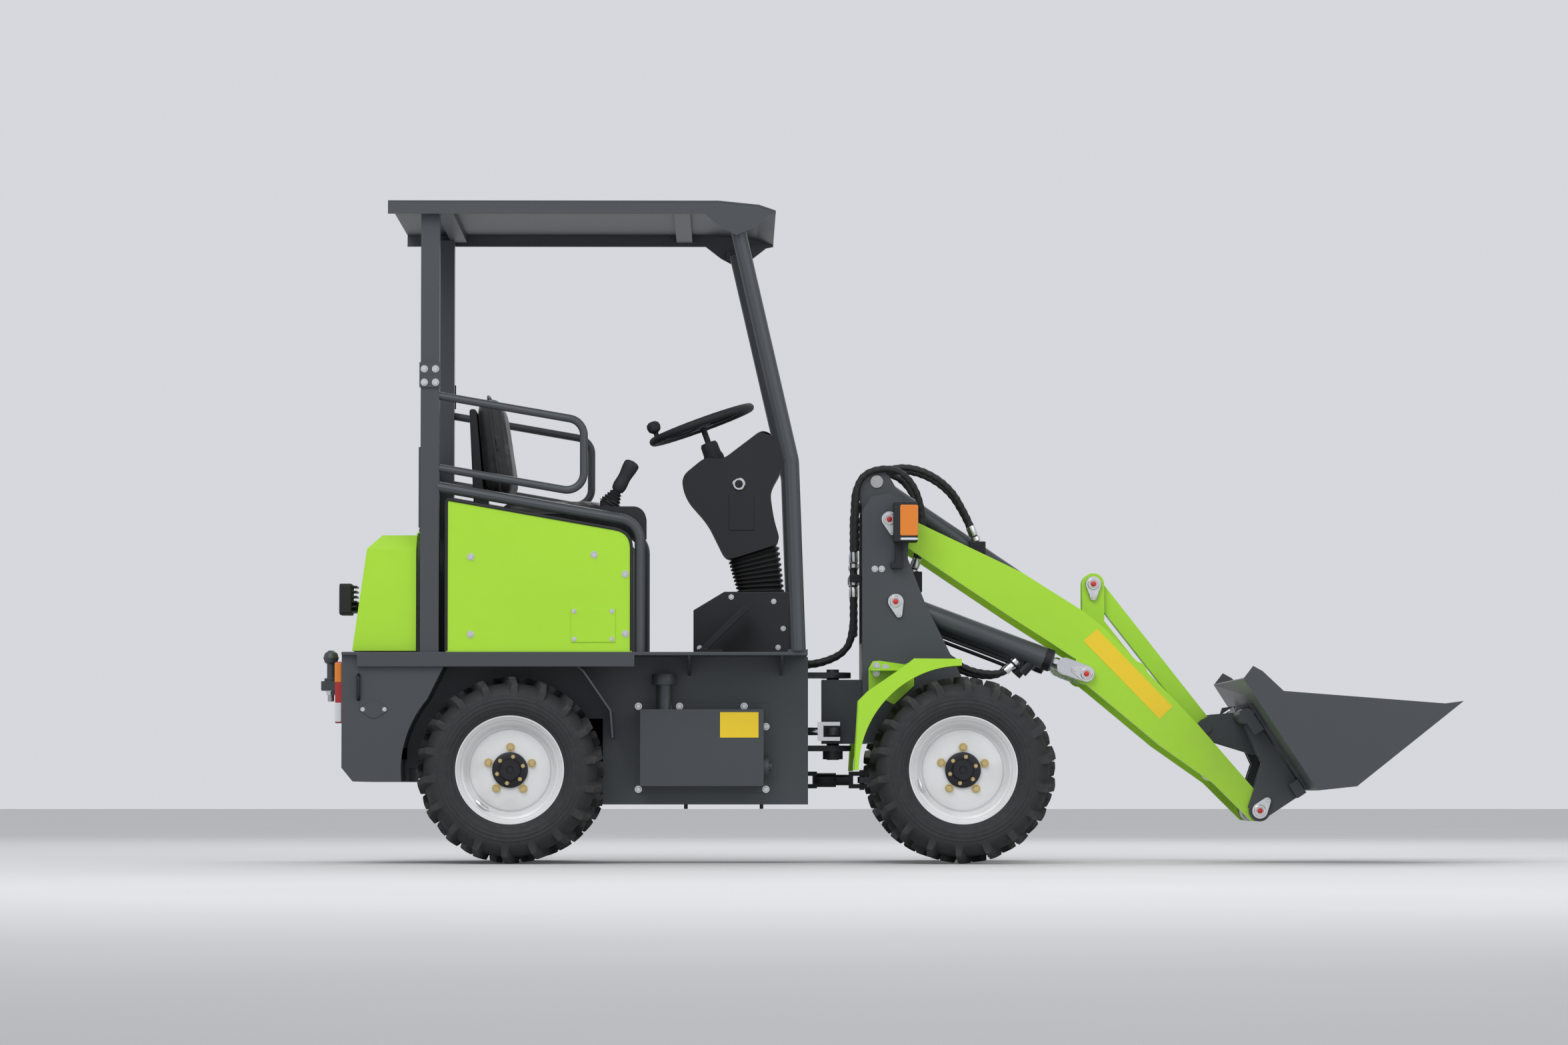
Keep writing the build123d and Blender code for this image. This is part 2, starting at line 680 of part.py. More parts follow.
with BuildPart() as pedal_box:
    side_plate(
        [
            (-605, DECK_TOP),
            (-300, DECK_TOP),
            (-300, PEDAL_BOX_TOP),
            (-507, PEDAL_BOX_TOP),
            (-605, 800),
        ],
        -200,
        200,
    )
    box((-597, -308), (-192, 192), (DECK_TOP, 792), Mode.SUBTRACT)
keep(pedal_box, "pedal_box")
with BuildPart() as pedals:
    for y in (-270, 250):
        box((-590, -510), (y - 35, y + 35), (DECK_TOP, DECK_TOP + 14))
        side_plate([(-585, 674), (-560, 674), (-430, 800), (-445, 812)], y - 30, y + 30)
keep(pedals, "pedals")

# Lamps and tow hitch at the tail
with BuildPart() as tail_lamps:
    for y in (-1, 1):
        box((TAIL_REAR - 22, TAIL_REAR), (y * 400, y * 470), (438, 630))
keep(tail_lamps, "tail_lamps")
with BuildPart() as tow_hitch:
    box((TAIL_REAR - 8, TAIL_REAR), (-60, 60), (440, 600))
    box((TAIL_REAR - 97.5, TAIL_REAR - 8), (-30, 30), (548, 578))
    rod((TAIL_REAR - 68, 0, 578), (TAIL_REAR - 68, 0, 640), 13)
    with BuildSketch(Plane.XZ) as ball:
        with Locations((TAIL_REAR - 68, 653)):
            RegularPolygon(25, 10)
        with Locations((TAIL_REAR - 68 - 30, 653)):
            Rectangle(60, 60, mode=Mode.SUBTRACT)
    revolve(ball.sketch, axis=Axis((TAIL_REAR - 68, 0, 653), (0, 0, 1)))
keep(tow_hitch, "tow_hitch")

# Rear hood, hinged along its top front edge
with BuildPart() as rear_hood:
    with BuildSketch(Plane.XY.offset(DECK_TOP + 4)) as low:
        with Locations(((HOOD_REAR + HOOD_FRONT) / 2, 0)):
            Rectangle(HOOD_FRONT - HOOD_REAR, 2 * HOOD_HALF)
    with BuildSketch(Plane.XY.offset(HOOD_SIDE_TOP)) as waist:
        with Locations(((HOOD_REAR + 45 + HOOD_FRONT) / 2, 0)):
            Rectangle(HOOD_FRONT - HOOD_REAR - 45, 2 * HOOD_HALF)
    loft([low.sketch, waist.sketch], ruled=True)
    with BuildSketch(Plane.XY.offset(HOOD_SIDE_TOP)) as crown_low:
        with Locations(((HOOD_REAR + 45 + HOOD_FRONT) / 2, 0)):
            Rectangle(HOOD_FRONT - HOOD_REAR - 45, 2 * HOOD_HALF)
    with BuildSketch(Plane.XY.offset(HOOD_TOP)) as crown_high:
        with Locations(((HOOD_REAR + 90 + HOOD_FRONT) / 2, 0)):
            Rectangle(HOOD_FRONT - HOOD_REAR - 90, 2 * (HOOD_HALF - 60))
    loft([crown_low.sketch, crown_high.sketch], ruled=True)
    shell_open = rear_hood.faces().sort_by(Axis.Z)[0]
    offset(amount=-HOOD_WALL, openings=[shell_open])
    for y in (-260, 260):
        for low, high in ((y - 55, y - 16), (y + 16, y + 55)):
            axis = [(HOOD_HINGE_X, edge, HOOD_HINGE_Z) for edge in (low, high)]
            rod(*axis, 9)
            rod(*axis, HOOD_PIN_RADIUS + PIN_FIT, Mode.SUBTRACT)
keep(rear_hood, "rear_hood")
with BuildPart() as work_lamp:
    box((HOOD_REAR - 70, HOOD_REAR - 30), (-60, 60), (790, 890))
    foot = [(z, HOOD_REAR + 45 * (z - DECK_TOP - 4) / (HOOD_SIDE_TOP - DECK_TOP - 4)) for z in (800, 830)]
    side_plate([(HOOD_REAR - 32, 800), (HOOD_REAR - 32, 830), foot[1][::-1], foot[0][::-1]], -14, 14)
keep(work_lamp, "work_lamp")

# Steering wheel
with BuildPart() as steering_wheel:
    wheel_plane = Plane(
        origin=(WHEEL_CENTRE[0], 0, WHEEL_CENTRE[1]),
        x_dir=(cos(radians(WHEEL_TILT)), 0, sin(radians(WHEEL_TILT))),
        z_dir=(-sin(radians(WHEEL_TILT)), 0, cos(radians(WHEEL_TILT))),
    )
    with Locations(wheel_plane):
        Cylinder(38, 24)
        for turn in (90, 210, 330):
            with Locations(Location((0, 0, 0), (0, 0, turn))):
                with Locations((100, 0, -4)):
                    Box(135, 24, 8)
    with BuildSketch(Plane(wheel_plane.origin, x_dir=wheel_plane.x_dir, z_dir=(0, 1, 0))) as grip:
        with Locations((165, 0)):
            RegularPolygon(13, 8)
    revolve(grip.sketch, axis=Axis(wheel_plane.origin, wheel_plane.z_dir))
    with BuildSketch(wheel_plane.offset(-20)) as bore:
        Circle(COLUMN_RADIUS + PIN_FIT)
    extrude(bore.sketch, amount=20.5, mode=Mode.SUBTRACT)
keep(steering_wheel, "steering_wheel")

# Front frame: hinge block, tower plates, cross plates and pins
with BuildPart() as front_frame:
    box(
        (HINGE_BLOCK_REAR, -54),
        (-HINGE_BLOCK_HALF, HINGE_BLOCK_HALF),
        (HINGE_BLOCK_LOW, HINGE_BLOCK_HIGH),
    )
    rod(
        (PIVOT_X, 0, HINGE_BLOCK_LOW),
        (PIVOT_X, 0, HINGE_BLOCK_HIGH),
        HINGE_PIN_RADIUS + PIN_FIT,
        Mode.SUBTRACT,
    )
    outer_plate = [
        (-69, 380),
        (-69, 1115),
        (-40, 1160),
        (16, 1169),
        (62, 1140),
        (80, 1085),
        (75, 962),
        (130, 820),
        (243, 592),
        (330, 430),
        (330, 380),
    ]
    inner_plate = [
        (-69, 380),
        (-69, 1215),
        (-45, 1250),
        (-8, 1255),
        (20, 1228),
        (75, 1130),
        (80, 1085),
        (75, 962),
        (130, 820),
        (243, 592),
        (330, 430),
        (330, 380),
    ]
    for y in (-1, 1):
        for near, outline in ((TOWER_OUTER, outer_plate), (TOWER_INNER, inner_plate)):
            side_plate(
                outline,
                min(y * near, y * (near + TOWER_PLATE)),
                max(y * near, y * (near + TOWER_PLATE)),
            )
        # Pins of the arms and of the lift cylinders
        far = TOWER_OUTER + TOWER_PLATE + 6
        for pin in (BOOM_PIVOT, LIFT_BASE):
            side_disc(pin, PIN_RADIUS, min(y * TOWER_INNER, y * far), max(y * TOWER_INNER, y * far))
    reach = TOWER_INNER + TOWER_PLATE
    side_disc(TILT_BASE, TILT_PIN_RADIUS + PIN_FIT, -reach, reach, Mode.SUBTRACT)
    # Steering lug on the hinge block and the shaft's front bearing
    box((PIVOT_X - 20, PIVOT_X + 20), (STEER_Y, -HINGE_BLOCK_HALF), (STEER_Z - 12, STEER_Z + 12))
    rod((PIVOT_X, STEER_Y, STEER_Z - 12), (PIVOT_X, STEER_Y, STEER_Z + 12), 22)
    box((PIVOT_X + SHAFT_JOINT + 40, PIVOT_X + SHAFT_JOINT + 85), (-45, 45), (SHAFT_Z - 48, 380))
    shaft_tongue(PIVOT_X + SHAFT_JOINT, PIVOT_X + SHAFT_JOINT + 40)
    # Back web, cross plates and axle saddle
    box((-69, -54), (-TOWER_OUTER, TOWER_OUTER), (380, 700))
    box((-69, 330), (-TOWER_OUTER, TOWER_OUTER), (380, 396))
    box((FRONT_AXLE_X - 70, FRONT_AXLE_X + 70), (-190, -110), (AXLE_Z + 42.2, 380))
    box((FRONT_AXLE_X - 70, FRONT_AXLE_X + 70), (110, 190), (AXLE_Z + 42.2, 380))
keep(front_frame, "front_frame")

# Hoses up the back of the tower, held by a clamp bar on the plates' rear edges
HOSE_RADIUS = 11.0
HOSE_X = -92.0
with BuildPart() as tower_hoses:
    for y in (-95, -62, 62, 95):
        bent_tube([(HOSE_X, y, 722), (HOSE_X, y, 1150), (10, y, 1165)], 60, HOSE_RADIUS)
    box((HOSE_X - 16, -69), (-TOWER_INNER - TOWER_PLATE, TOWER_INNER + TOWER_PLATE), (892, 916))
keep(tower_hoses, "tower_hoses")

# Front fenders: a curved sheet over each tyre between two flanges, on a bolted bracket
FENDER_RADIUS = TYRE_RADIUS + 34
FENDER_SHEET = 5.0
FENDER_INNER = WHEEL_Y - TYRE_WIDTH / 2
FENDER_OUTER = 500.0
FLANGE = [(-100, 292), (-87, 509), (-56, 540), (64, 622), (86, 640), (235, 639), (235, 628)]
BRACKET = [(-50, 542), (-50, 614), (-37, 637), (-17, 639), (64, 627), (94, 640), (94, 560), (30, 500)]
with BuildPart() as front_fenders:
    for y in (-1, 1):
        for near, outline in ((FENDER_INNER, FLANGE), (FENDER_OUTER - FENDER_SHEET, FLANGE)):
            low, high = sorted((y * near, y * (near + FENDER_SHEET)))
            side_plate([*outline, (FRONT_AXLE_X, AXLE_Z)], low, high)
        low, high = sorted((y * FENDER_INNER, y * FENDER_OUTER))
        with BuildSketch(Plane.XZ.offset(-high)) as sheet:
            with Locations((FRONT_AXLE_X, AXLE_Z)):
                Circle(FENDER_RADIUS + FENDER_SHEET)
            with Locations((FRONT_AXLE_X - 179, AXLE_Z + 200)):
                Rectangle(350, 400, mode=Mode.INTERSECT)
        extrude(sheet.sketch, amount=high - low)
        side_disc((FRONT_AXLE_X, AXLE_Z), FENDER_RADIUS, low - 1, high + 1, Mode.SUBTRACT)
        bolted = TOWER_OUTER + TOWER_PLATE
        side_plate(BRACKET, *sorted((y * bolted, y * (bolted + FENDER_SHEET))))
        shelf = sorted((y * bolted, y * (FENDER_INNER + FENDER_SHEET)))
        side_plate([(-45, 606), (60, 606), (60, 612), (-45, 612)], *shelf)
keep(front_fenders, "front_fenders")
with BuildPart() as indicator_lamps:
    for y in (-1, 1):
        low, high = sorted((y * (TOWER_OUTER + TOWER_PLATE + 12), y * (TOWER_OUTER + TOWER_PLATE + 82)))
        box((28, 104), (low, high), (1012, 1140))
        low, high = sorted((y * (TOWER_OUTER + TOWER_PLATE), y * (TOWER_OUTER + TOWER_PLATE + 30)))
        box((20, 60), (low, high), (930, 950))
        box((34, 60), (low, high), (950, 1012))
keep(indicator_lamps, "indicator_lamps")

# Boom: two plate arms joined by cross tubes
ARM_OUTLINE = [
    (16, 1125),
    (116, 1075),
    (440, 920),
    (495, 885),
    (631, 799),
    (703, 742),
    (834, 607),
    (995, 440),
    (1107, 310),
    (1190 + 30, 180),
    (1190, 130),
    (1163, 133),
    (1044, 252),
    (875, 371),
    (791, 441),
    (673, 539),
    (642, 564),
    (608, 598),
    (610, 645),
    (399, 781),
    (72, 1001),
    (16, 1049),
    (-16, 1087),
]
with BuildPart() as boom:
    for y in (-1, 1):
        low, high = sorted((y * ARM_INNER, y * (ARM_INNER + ARM_PLATE)))
        side_plate(ARM_OUTLINE, low, high)
        side_disc(LIFT_ROD_PIN, LUG_RADIUS, low, high)
        side_disc(BUCKET_PIVOT, LUG_RADIUS, low, high)
        root = sorted((y * (TOWER_INNER + TOWER_PLATE + 3), y * (TOWER_OUTER - 3)))
        side_disc(BOOM_PIVOT, 40, *root)
        boss = sorted((y * (ARM_INNER - 25), y * (ARM_INNER + 2)))
        side_disc(ROCKER_PIVOT, 38, *boss)
        side_disc(BOOM_PIVOT, PIN_RADIUS + PIN_FIT, *root, Mode.SUBTRACT)
        side_disc(BUCKET_PIVOT, PIN_RADIUS + PIN_FIT, low, high, Mode.SUBTRACT)
        socket = sorted((y * (ARM_INNER - 25), y * (ARM_INNER - 2)))
        side_disc(ROCKER_PIVOT, ROCKER_PIN_RADIUS + PIN_FIT, *socket, Mode.SUBTRACT)
    side_disc((595, 716), 30, -ARM_INNER, ARM_INNER)
    side_disc((1060, 287), 28, -ARM_INNER, ARM_INNER)
keep(boom, "boom")

# Lift cylinders: barrels on the tower, rods with forks at the arms
LIFT_BARREL_LENGTH = 532.0
LIFT_Y = ARM_INNER + ARM_PLATE / 2
FORK_GAP = 3.0
FORK_CHEEK = 12.0
FORK_RADIUS = 26.0
with BuildPart() as lift_barrels:
    for y in (-1, 1):
        start = along(LIFT_BASE, LIFT_ROD_PIN, 20)
        end = along(LIFT_BASE, LIFT_ROD_PIN, LIFT_BARREL_LENGTH)
        eye = sorted((y * (LIFT_Y - 30), y * (LIFT_Y + 30)))
        side_disc(LIFT_BASE, 34, *eye)
        rod((start[0], y * LIFT_Y, start[1]), (end[0], y * LIFT_Y, end[1]), LIFT_BARREL_RADIUS)
        bottom = along(LIFT_BASE, LIFT_ROD_PIN, 60)
        rod(
            (bottom[0], y * LIFT_Y, bottom[1]),
            (end[0], y * LIFT_Y, end[1]),
            LIFT_ROD_RADIUS + PIN_FIT,
            Mode.SUBTRACT,
        )
        side_disc(LIFT_BASE, PIN_RADIUS + PIN_FIT, *eye, Mode.SUBTRACT)
keep(lift_barrels, "lift_barrels")
with BuildPart() as lift_rods:
    for y in (-1, 1):
        span = hypot(LIFT_ROD_PIN[0] - LIFT_BASE[0], LIFT_ROD_PIN[1] - LIFT_BASE[1])
        start = along(LIFT_BASE, LIFT_ROD_PIN, 140)
        end = along(LIFT_BASE, LIFT_ROD_PIN, span - 72)
        rod((start[0], y * LIFT_Y, start[1]), (end[0], y * LIFT_Y, end[1]), LIFT_ROD_RADIUS)
        fork_half = ARM_PLATE / 2 + FORK_GAP + FORK_CHEEK
        neck = sorted((y * (LIFT_Y - fork_half), y * (LIFT_Y + fork_half)))
        crotch = along(LIFT_BASE, LIFT_ROD_PIN, span - 58)
        side_link(end, crotch, FORK_RADIUS, *neck)
        side_link(crotch, LIFT_ROD_PIN, FORK_RADIUS, *neck)
        slot_half = ARM_PLATE / 2 + FORK_GAP
        slot = sorted((y * (LIFT_Y - slot_half), y * (LIFT_Y + slot_half)))
        side_disc(LIFT_ROD_PIN, 66, *slot, Mode.SUBTRACT)
        far_end = along(LIFT_BASE, LIFT_ROD_PIN, span + 80)
        side_link(LIFT_ROD_PIN, far_end, 50, *slot, Mode.SUBTRACT)
keep(lift_rods, "lift_rods")

# Tilt cylinder between the tower top and the rocker
TILT_BARREL_LENGTH = 720.0
with BuildPart() as tilt_barrel:
    side_disc(TILT_BASE, 34, -28, 28)
    start = along(TILT_BASE, ROCKER_EYE, 20)
    end = along(TILT_BASE, ROCKER_EYE, TILT_BARREL_LENGTH)
    rod((start[0], 0, start[1]), (end[0], 0, end[1]), TILT_BARREL_RADIUS)
    bottom = along(TILT_BASE, ROCKER_EYE, 60)
    rod((bottom[0], 0, bottom[1]), (end[0], 0, end[1]), TILT_ROD_RADIUS + PIN_FIT, Mode.SUBTRACT)
    side_disc(TILT_BASE, TILT_PIN_RADIUS + PIN_FIT, -28, 28, Mode.SUBTRACT)
keep(tilt_barrel, "tilt_barrel")
with BuildPart() as tilt_pin:
    side_disc(TILT_BASE, TILT_PIN_RADIUS, -TOWER_INNER - TOWER_PLATE - 5, TOWER_INNER + TOWER_PLATE + 5)
keep(tilt_pin, "tilt_pin")
with BuildPart() as tilt_rod:
    span = hypot(ROCKER_EYE[0] - TILT_BASE[0], ROCKER_EYE[1] - TILT_BASE[1])
    start = along(TILT_BASE, ROCKER_EYE, 300)
    end = along(TILT_BASE, ROCKER_EYE, span - 15)
    rod((start[0], 0, start[1]), (end[0], 0, end[1]), TILT_ROD_RADIUS)
    side_disc(ROCKER_EYE, 28, -24, 24)
keep(tilt_rod, "tilt_rod")

# Rocker, its pivot pin, the connecting bar and its pin
ROCKER_INNER = LINK_HALF + CENTRE_GAP
ROCKER_PLATE = 12.0
with BuildPart() as rocker_pin:
    side_disc(ROCKER_PIVOT, ROCKER_PIN_RADIUS, -ARM_INNER + 3, ARM_INNER - 3)
keep(rocker_pin, "rocker_pin")
with BuildPart() as rocker:
    for y in (-1, 1):
        low, high = sorted((y * ROCKER_INNER, y * (ROCKER_INNER + ROCKER_PLATE)))
        knee = (ROCKER_TOP[0], ROCKER_TOP[1] - 130)
        side_link(ROCKER_TOP, knee, 35, low, high)
        side_link(knee, ROCKER_PIVOT, 35, low, high)
        side_disc(ROCKER_TOP, PIN_RADIUS + PIN_FIT, low, high, Mode.SUBTRACT)
        stub = sorted((y * 26, y * ROCKER_INNER))
        side_disc(ROCKER_EYE, PIN_RADIUS, *stub)
    side_disc(ROCKER_PIVOT, 31, -ROCKER_INNER - ROCKER_PLATE - 60, ROCKER_INNER + ROCKER_PLATE + 60)
    side_disc(ROCKER_PIVOT, ROCKER_PIN_RADIUS + PIN_FIT, -ARM_INNER, ARM_INNER, Mode.SUBTRACT)
keep(rocker, "rocker")
with BuildPart() as link_pin:
    side_disc(ROCKER_TOP, PIN_RADIUS, -ROCKER_INNER - ROCKER_PLATE - 6, ROCKER_INNER + ROCKER_PLATE + 6)
keep(link_pin, "link_pin")
with BuildPart() as tilt_link:
    side_link(ROCKER_TOP, HITCH_TOP, 27, -LINK_HALF, LINK_HALF)
    side_disc(ROCKER_TOP, PIN_RADIUS + PIN_FIT, -LINK_HALF, LINK_HALF, Mode.SUBTRACT)
    side_disc(HITCH_TOP, PIN_RADIUS, -LINK_HALF, LINK_HALF, Mode.SUBTRACT)
keep(tilt_link, "tilt_link")

# Bucket pivot pins and the quick hitch, in a local frame along the bucket's back
BACK_LOW = (1341.0, 228.0)
BACK_HIGH = (1153.0, 512.0)
back_span = hypot(BACK_HIGH[0] - BACK_LOW[0], BACK_HIGH[1] - BACK_LOW[1])
back_up = ((BACK_HIGH[0] - BACK_LOW[0]) / back_span, (BACK_HIGH[1] - BACK_LOW[1]) / back_span)
back_out = (back_up[1], -back_up[0])


def hitch_point(up, out):
    """Return the side-view point at (up, out) from the bucket pivot."""
    return (
        BUCKET_PIVOT[0] + back_up[0] * up + back_out[0] * out,
        BUCKET_PIVOT[1] + back_up[1] * up + back_out[1] * out,
    )


EAR_OUTER = ARM_INNER + ARM_PLATE + HITCH_GAP
EAR_INNER = ARM_INNER - HITCH_GAP - HITCH_PLATE
with BuildPart() as bucket_pins:
    for y in (-1, 1):
        low, high = sorted((y * (EAR_INNER - 5), y * (EAR_OUTER + HITCH_PLATE + 6)))
        side_disc(BUCKET_PIVOT, PIN_RADIUS, low, high)
        side_disc(BUCKET_PIVOT, LUG_RADIUS, *sorted((y * (LINK_HALF + 8), y * (EAR_INNER - 5))))
    side_disc(BUCKET_PIVOT, PIN_RADIUS, -EAR_INNER, EAR_INNER)
keep(bucket_pins, "bucket_pins")
with BuildPart() as quick_hitch:
    for y in (-1, 1):
        for near in (EAR_OUTER, EAR_INNER):
            low, high = sorted((y * near, y * (near + HITCH_PLATE)))
            side_plate(
                [
                    hitch_point(-30, -12),
                    hitch_point(30, -25),
                    hitch_point(120, 90),
                    hitch_point(250, 110),
                    hitch_point(250, 150),
                    hitch_point(-30, 150),
                ],
                low,
                high,
            )
            side_disc(BUCKET_PIVOT, LUG_RADIUS, low, high)
            side_disc(BUCKET_PIVOT, PIN_RADIUS + PIN_FIT, low, high, Mode.SUBTRACT)
        low, high = sorted((y * ROCKER_INNER, y * (ROCKER_INNER + HITCH_PLATE)))
        side_plate(
            [
                hitch_point(333, 0),
                hitch_point(280, -8),
                hitch_point(130, 115),
                hitch_point(150, 150),
                hitch_point(280, 150),
                hitch_point(335, 50),
            ],
            low,
            high,
        )
        side_disc(HITCH_TOP, 32, low, high)
        side_disc(HITCH_TOP, PIN_RADIUS, *sorted((y * (LINK_HALF + 1), y * (ROCKER_INNER + HITCH_PLATE + 4))))
    side_plate(
        [hitch_point(210, 118), hitch_point(262, 118), hitch_point(262, 150), hitch_point(210, 150)],
        -285,
        285,
    )
    side_plate(
        [hitch_point(-30, 118), hitch_point(20, 118), hitch_point(20, 150), hitch_point(-30, 150)],
        -285,
        285,
    )
    side_disc(hitch_point(275, 128), 24, -285, 285)
keep(quick_hitch, "quick_hitch")

# Bucket: bent shell between two side plates, with hooks on its back
TIP = (1797.5, 507.0)
FLOOR_CORNER = (1463.0, 241.0)
# One hook on the bucket's back, as up and out from the pivot
HOOK = ((300, 161.5), (320, 120), (304, 100), (304, 152.5), (-20, 152.5), (-20, 161.5))
with BuildPart() as bucket:
    for y in (-BUCKET_HALF, BUCKET_HALF - BUCKET_PLATE):
        side_plate(
            [
                BACK_LOW,
                BACK_HIGH,
                (1111, 577),
                (1141, 616),
                (1170, 600),
                (1236, 538),
                (1742, 499),
                TIP,
                (1721, 446),
                FLOOR_CORNER,
            ],
            y,
            y + BUCKET_PLATE,
        )
    inside = BUCKET_HALF - BUCKET_PLATE
    side_plate([BACK_LOW, BACK_HIGH, (1111, 577), (1119, 581), (1162, 514), (1346, 236)], -inside, inside)
    side_plate([BACK_LOW, (1343, 236), (1461, 249), FLOOR_CORNER], -inside, inside)
    side_plate([FLOOR_CORNER, (1458, 247), (1715, 452), TIP, (1721, 446)], -inside, inside)
    for y in (-1, 1):
        low, high = sorted((y * 250, y * 275))
        side_plate(
            [hitch_point(up, out) for up, out in HOOK],
            low,
            high,
        )
keep(bucket, "bucket")

# Drive shaft halves, telescoping under the articulation
SHAFT_STUB_RADIUS = 17.5
with BuildPart() as driveshaft_rear:
    shaft_yoke(PIVOT_X - SHAFT_JOINT, 1)
    rod((PIVOT_X - SHAFT_JOINT + 35, 0, SHAFT_Z), (PIVOT_X + 10, 0, SHAFT_Z), 23)
    bore = SHAFT_STUB_RADIUS + PIN_FIT
    rod((PIVOT_X - SHAFT_JOINT + 45, 0, SHAFT_Z), (PIVOT_X + 10, 0, SHAFT_Z), bore, Mode.SUBTRACT)
keep(driveshaft_rear, "driveshaft_rear")
with BuildPart() as driveshaft_front:
    shaft_yoke(PIVOT_X + SHAFT_JOINT, -1)
    rod((PIVOT_X - 30, 0, SHAFT_Z), (PIVOT_X + SHAFT_JOINT - 35, 0, SHAFT_Z), SHAFT_STUB_RADIUS)
keep(driveshaft_front, "driveshaft_front")

# Steering cylinder under the deck
with BuildPart() as steering_barrel:
    rod((CROSS_X - 310, STEER_Y, STEER_Z), (CROSS_X, STEER_Y, STEER_Z), 30)
    rod((CROSS_X - 280, STEER_Y, STEER_Z), (CROSS_X, STEER_Y, STEER_Z), 12.5 + PIN_FIT, Mode.SUBTRACT)
keep(steering_barrel, "steering_barrel")
with BuildPart() as steering_rod:
    rod((CROSS_X - 140, STEER_Y, STEER_Z), (-205, STEER_Y, STEER_Z), 12.5)
    box((-210, PIVOT_X + 20), (STEER_Y - 22, STEER_Y + 22), (STEER_Z - 30, STEER_Z + 30))
    box((-192, PIVOT_X + 20), (STEER_Y - 30, STEER_Y + 30), (STEER_Z - 18, STEER_Z + 18), Mode.SUBTRACT)
keep(steering_rod, "steering_rod")
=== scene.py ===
"""Looks of the compact wheel loader: finishes, tyres, hoses, fasteners, padding and studio."""

import json
import logging
import math
from dataclasses import dataclass, field
from enum import Enum

import bpy
import numpy as np
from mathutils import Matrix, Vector


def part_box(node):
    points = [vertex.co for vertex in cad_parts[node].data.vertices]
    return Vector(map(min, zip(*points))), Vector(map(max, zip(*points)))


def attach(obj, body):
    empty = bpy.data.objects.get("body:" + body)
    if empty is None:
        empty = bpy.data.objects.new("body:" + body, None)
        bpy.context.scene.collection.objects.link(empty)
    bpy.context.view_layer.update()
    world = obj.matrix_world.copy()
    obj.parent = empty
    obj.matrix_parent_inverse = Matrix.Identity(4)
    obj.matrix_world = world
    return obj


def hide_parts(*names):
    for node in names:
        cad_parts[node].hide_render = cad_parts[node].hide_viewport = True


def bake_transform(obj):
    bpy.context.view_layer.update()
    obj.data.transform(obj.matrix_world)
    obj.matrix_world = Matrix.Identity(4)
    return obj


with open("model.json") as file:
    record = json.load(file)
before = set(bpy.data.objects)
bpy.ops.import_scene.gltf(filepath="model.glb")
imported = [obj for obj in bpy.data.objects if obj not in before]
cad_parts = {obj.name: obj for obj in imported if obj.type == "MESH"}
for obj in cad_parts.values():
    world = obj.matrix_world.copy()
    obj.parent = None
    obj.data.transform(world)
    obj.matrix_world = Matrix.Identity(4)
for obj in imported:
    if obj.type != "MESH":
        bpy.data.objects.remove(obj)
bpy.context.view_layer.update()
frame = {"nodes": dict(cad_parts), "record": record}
# The lift cylinders' foot, its distance from the middle in Y, and their direction at rest
LIFT_FOOT = (0.036, 0.1875, 0.826)
LIFT_WAY = (0.936, 0.0, -0.352)
LOG = logging.getLogger("loader")
Socket = bpy.types.NodeSocket
Piece = bpy.types.Object
Colour = tuple[float, float, float]
Point = tuple[float, float, float] | np.ndarray
Rows = list | tuple | np.ndarray


class Side(Enum):
    """The machine's right (towards the camera) or left."""

    RIGHT = -1
    LEFT = 1


class Ends(Enum):
    """How the two open ends of a carried profile are finished."""

    OPEN = "open"
    CAPPED = "capped"
    RING = "ring"


def srgb(red: int, green: int, blue: int) -> Colour:
    """Return a linear colour from 8-bit display values."""
    values = np.array([red, green, blue]) / 255.0
    linear = np.where(values <= 0.04045, values / 12.92, ((values + 0.055) / 1.055) ** 2.4)
    return tuple(float(v) for v in linear)


# Materials


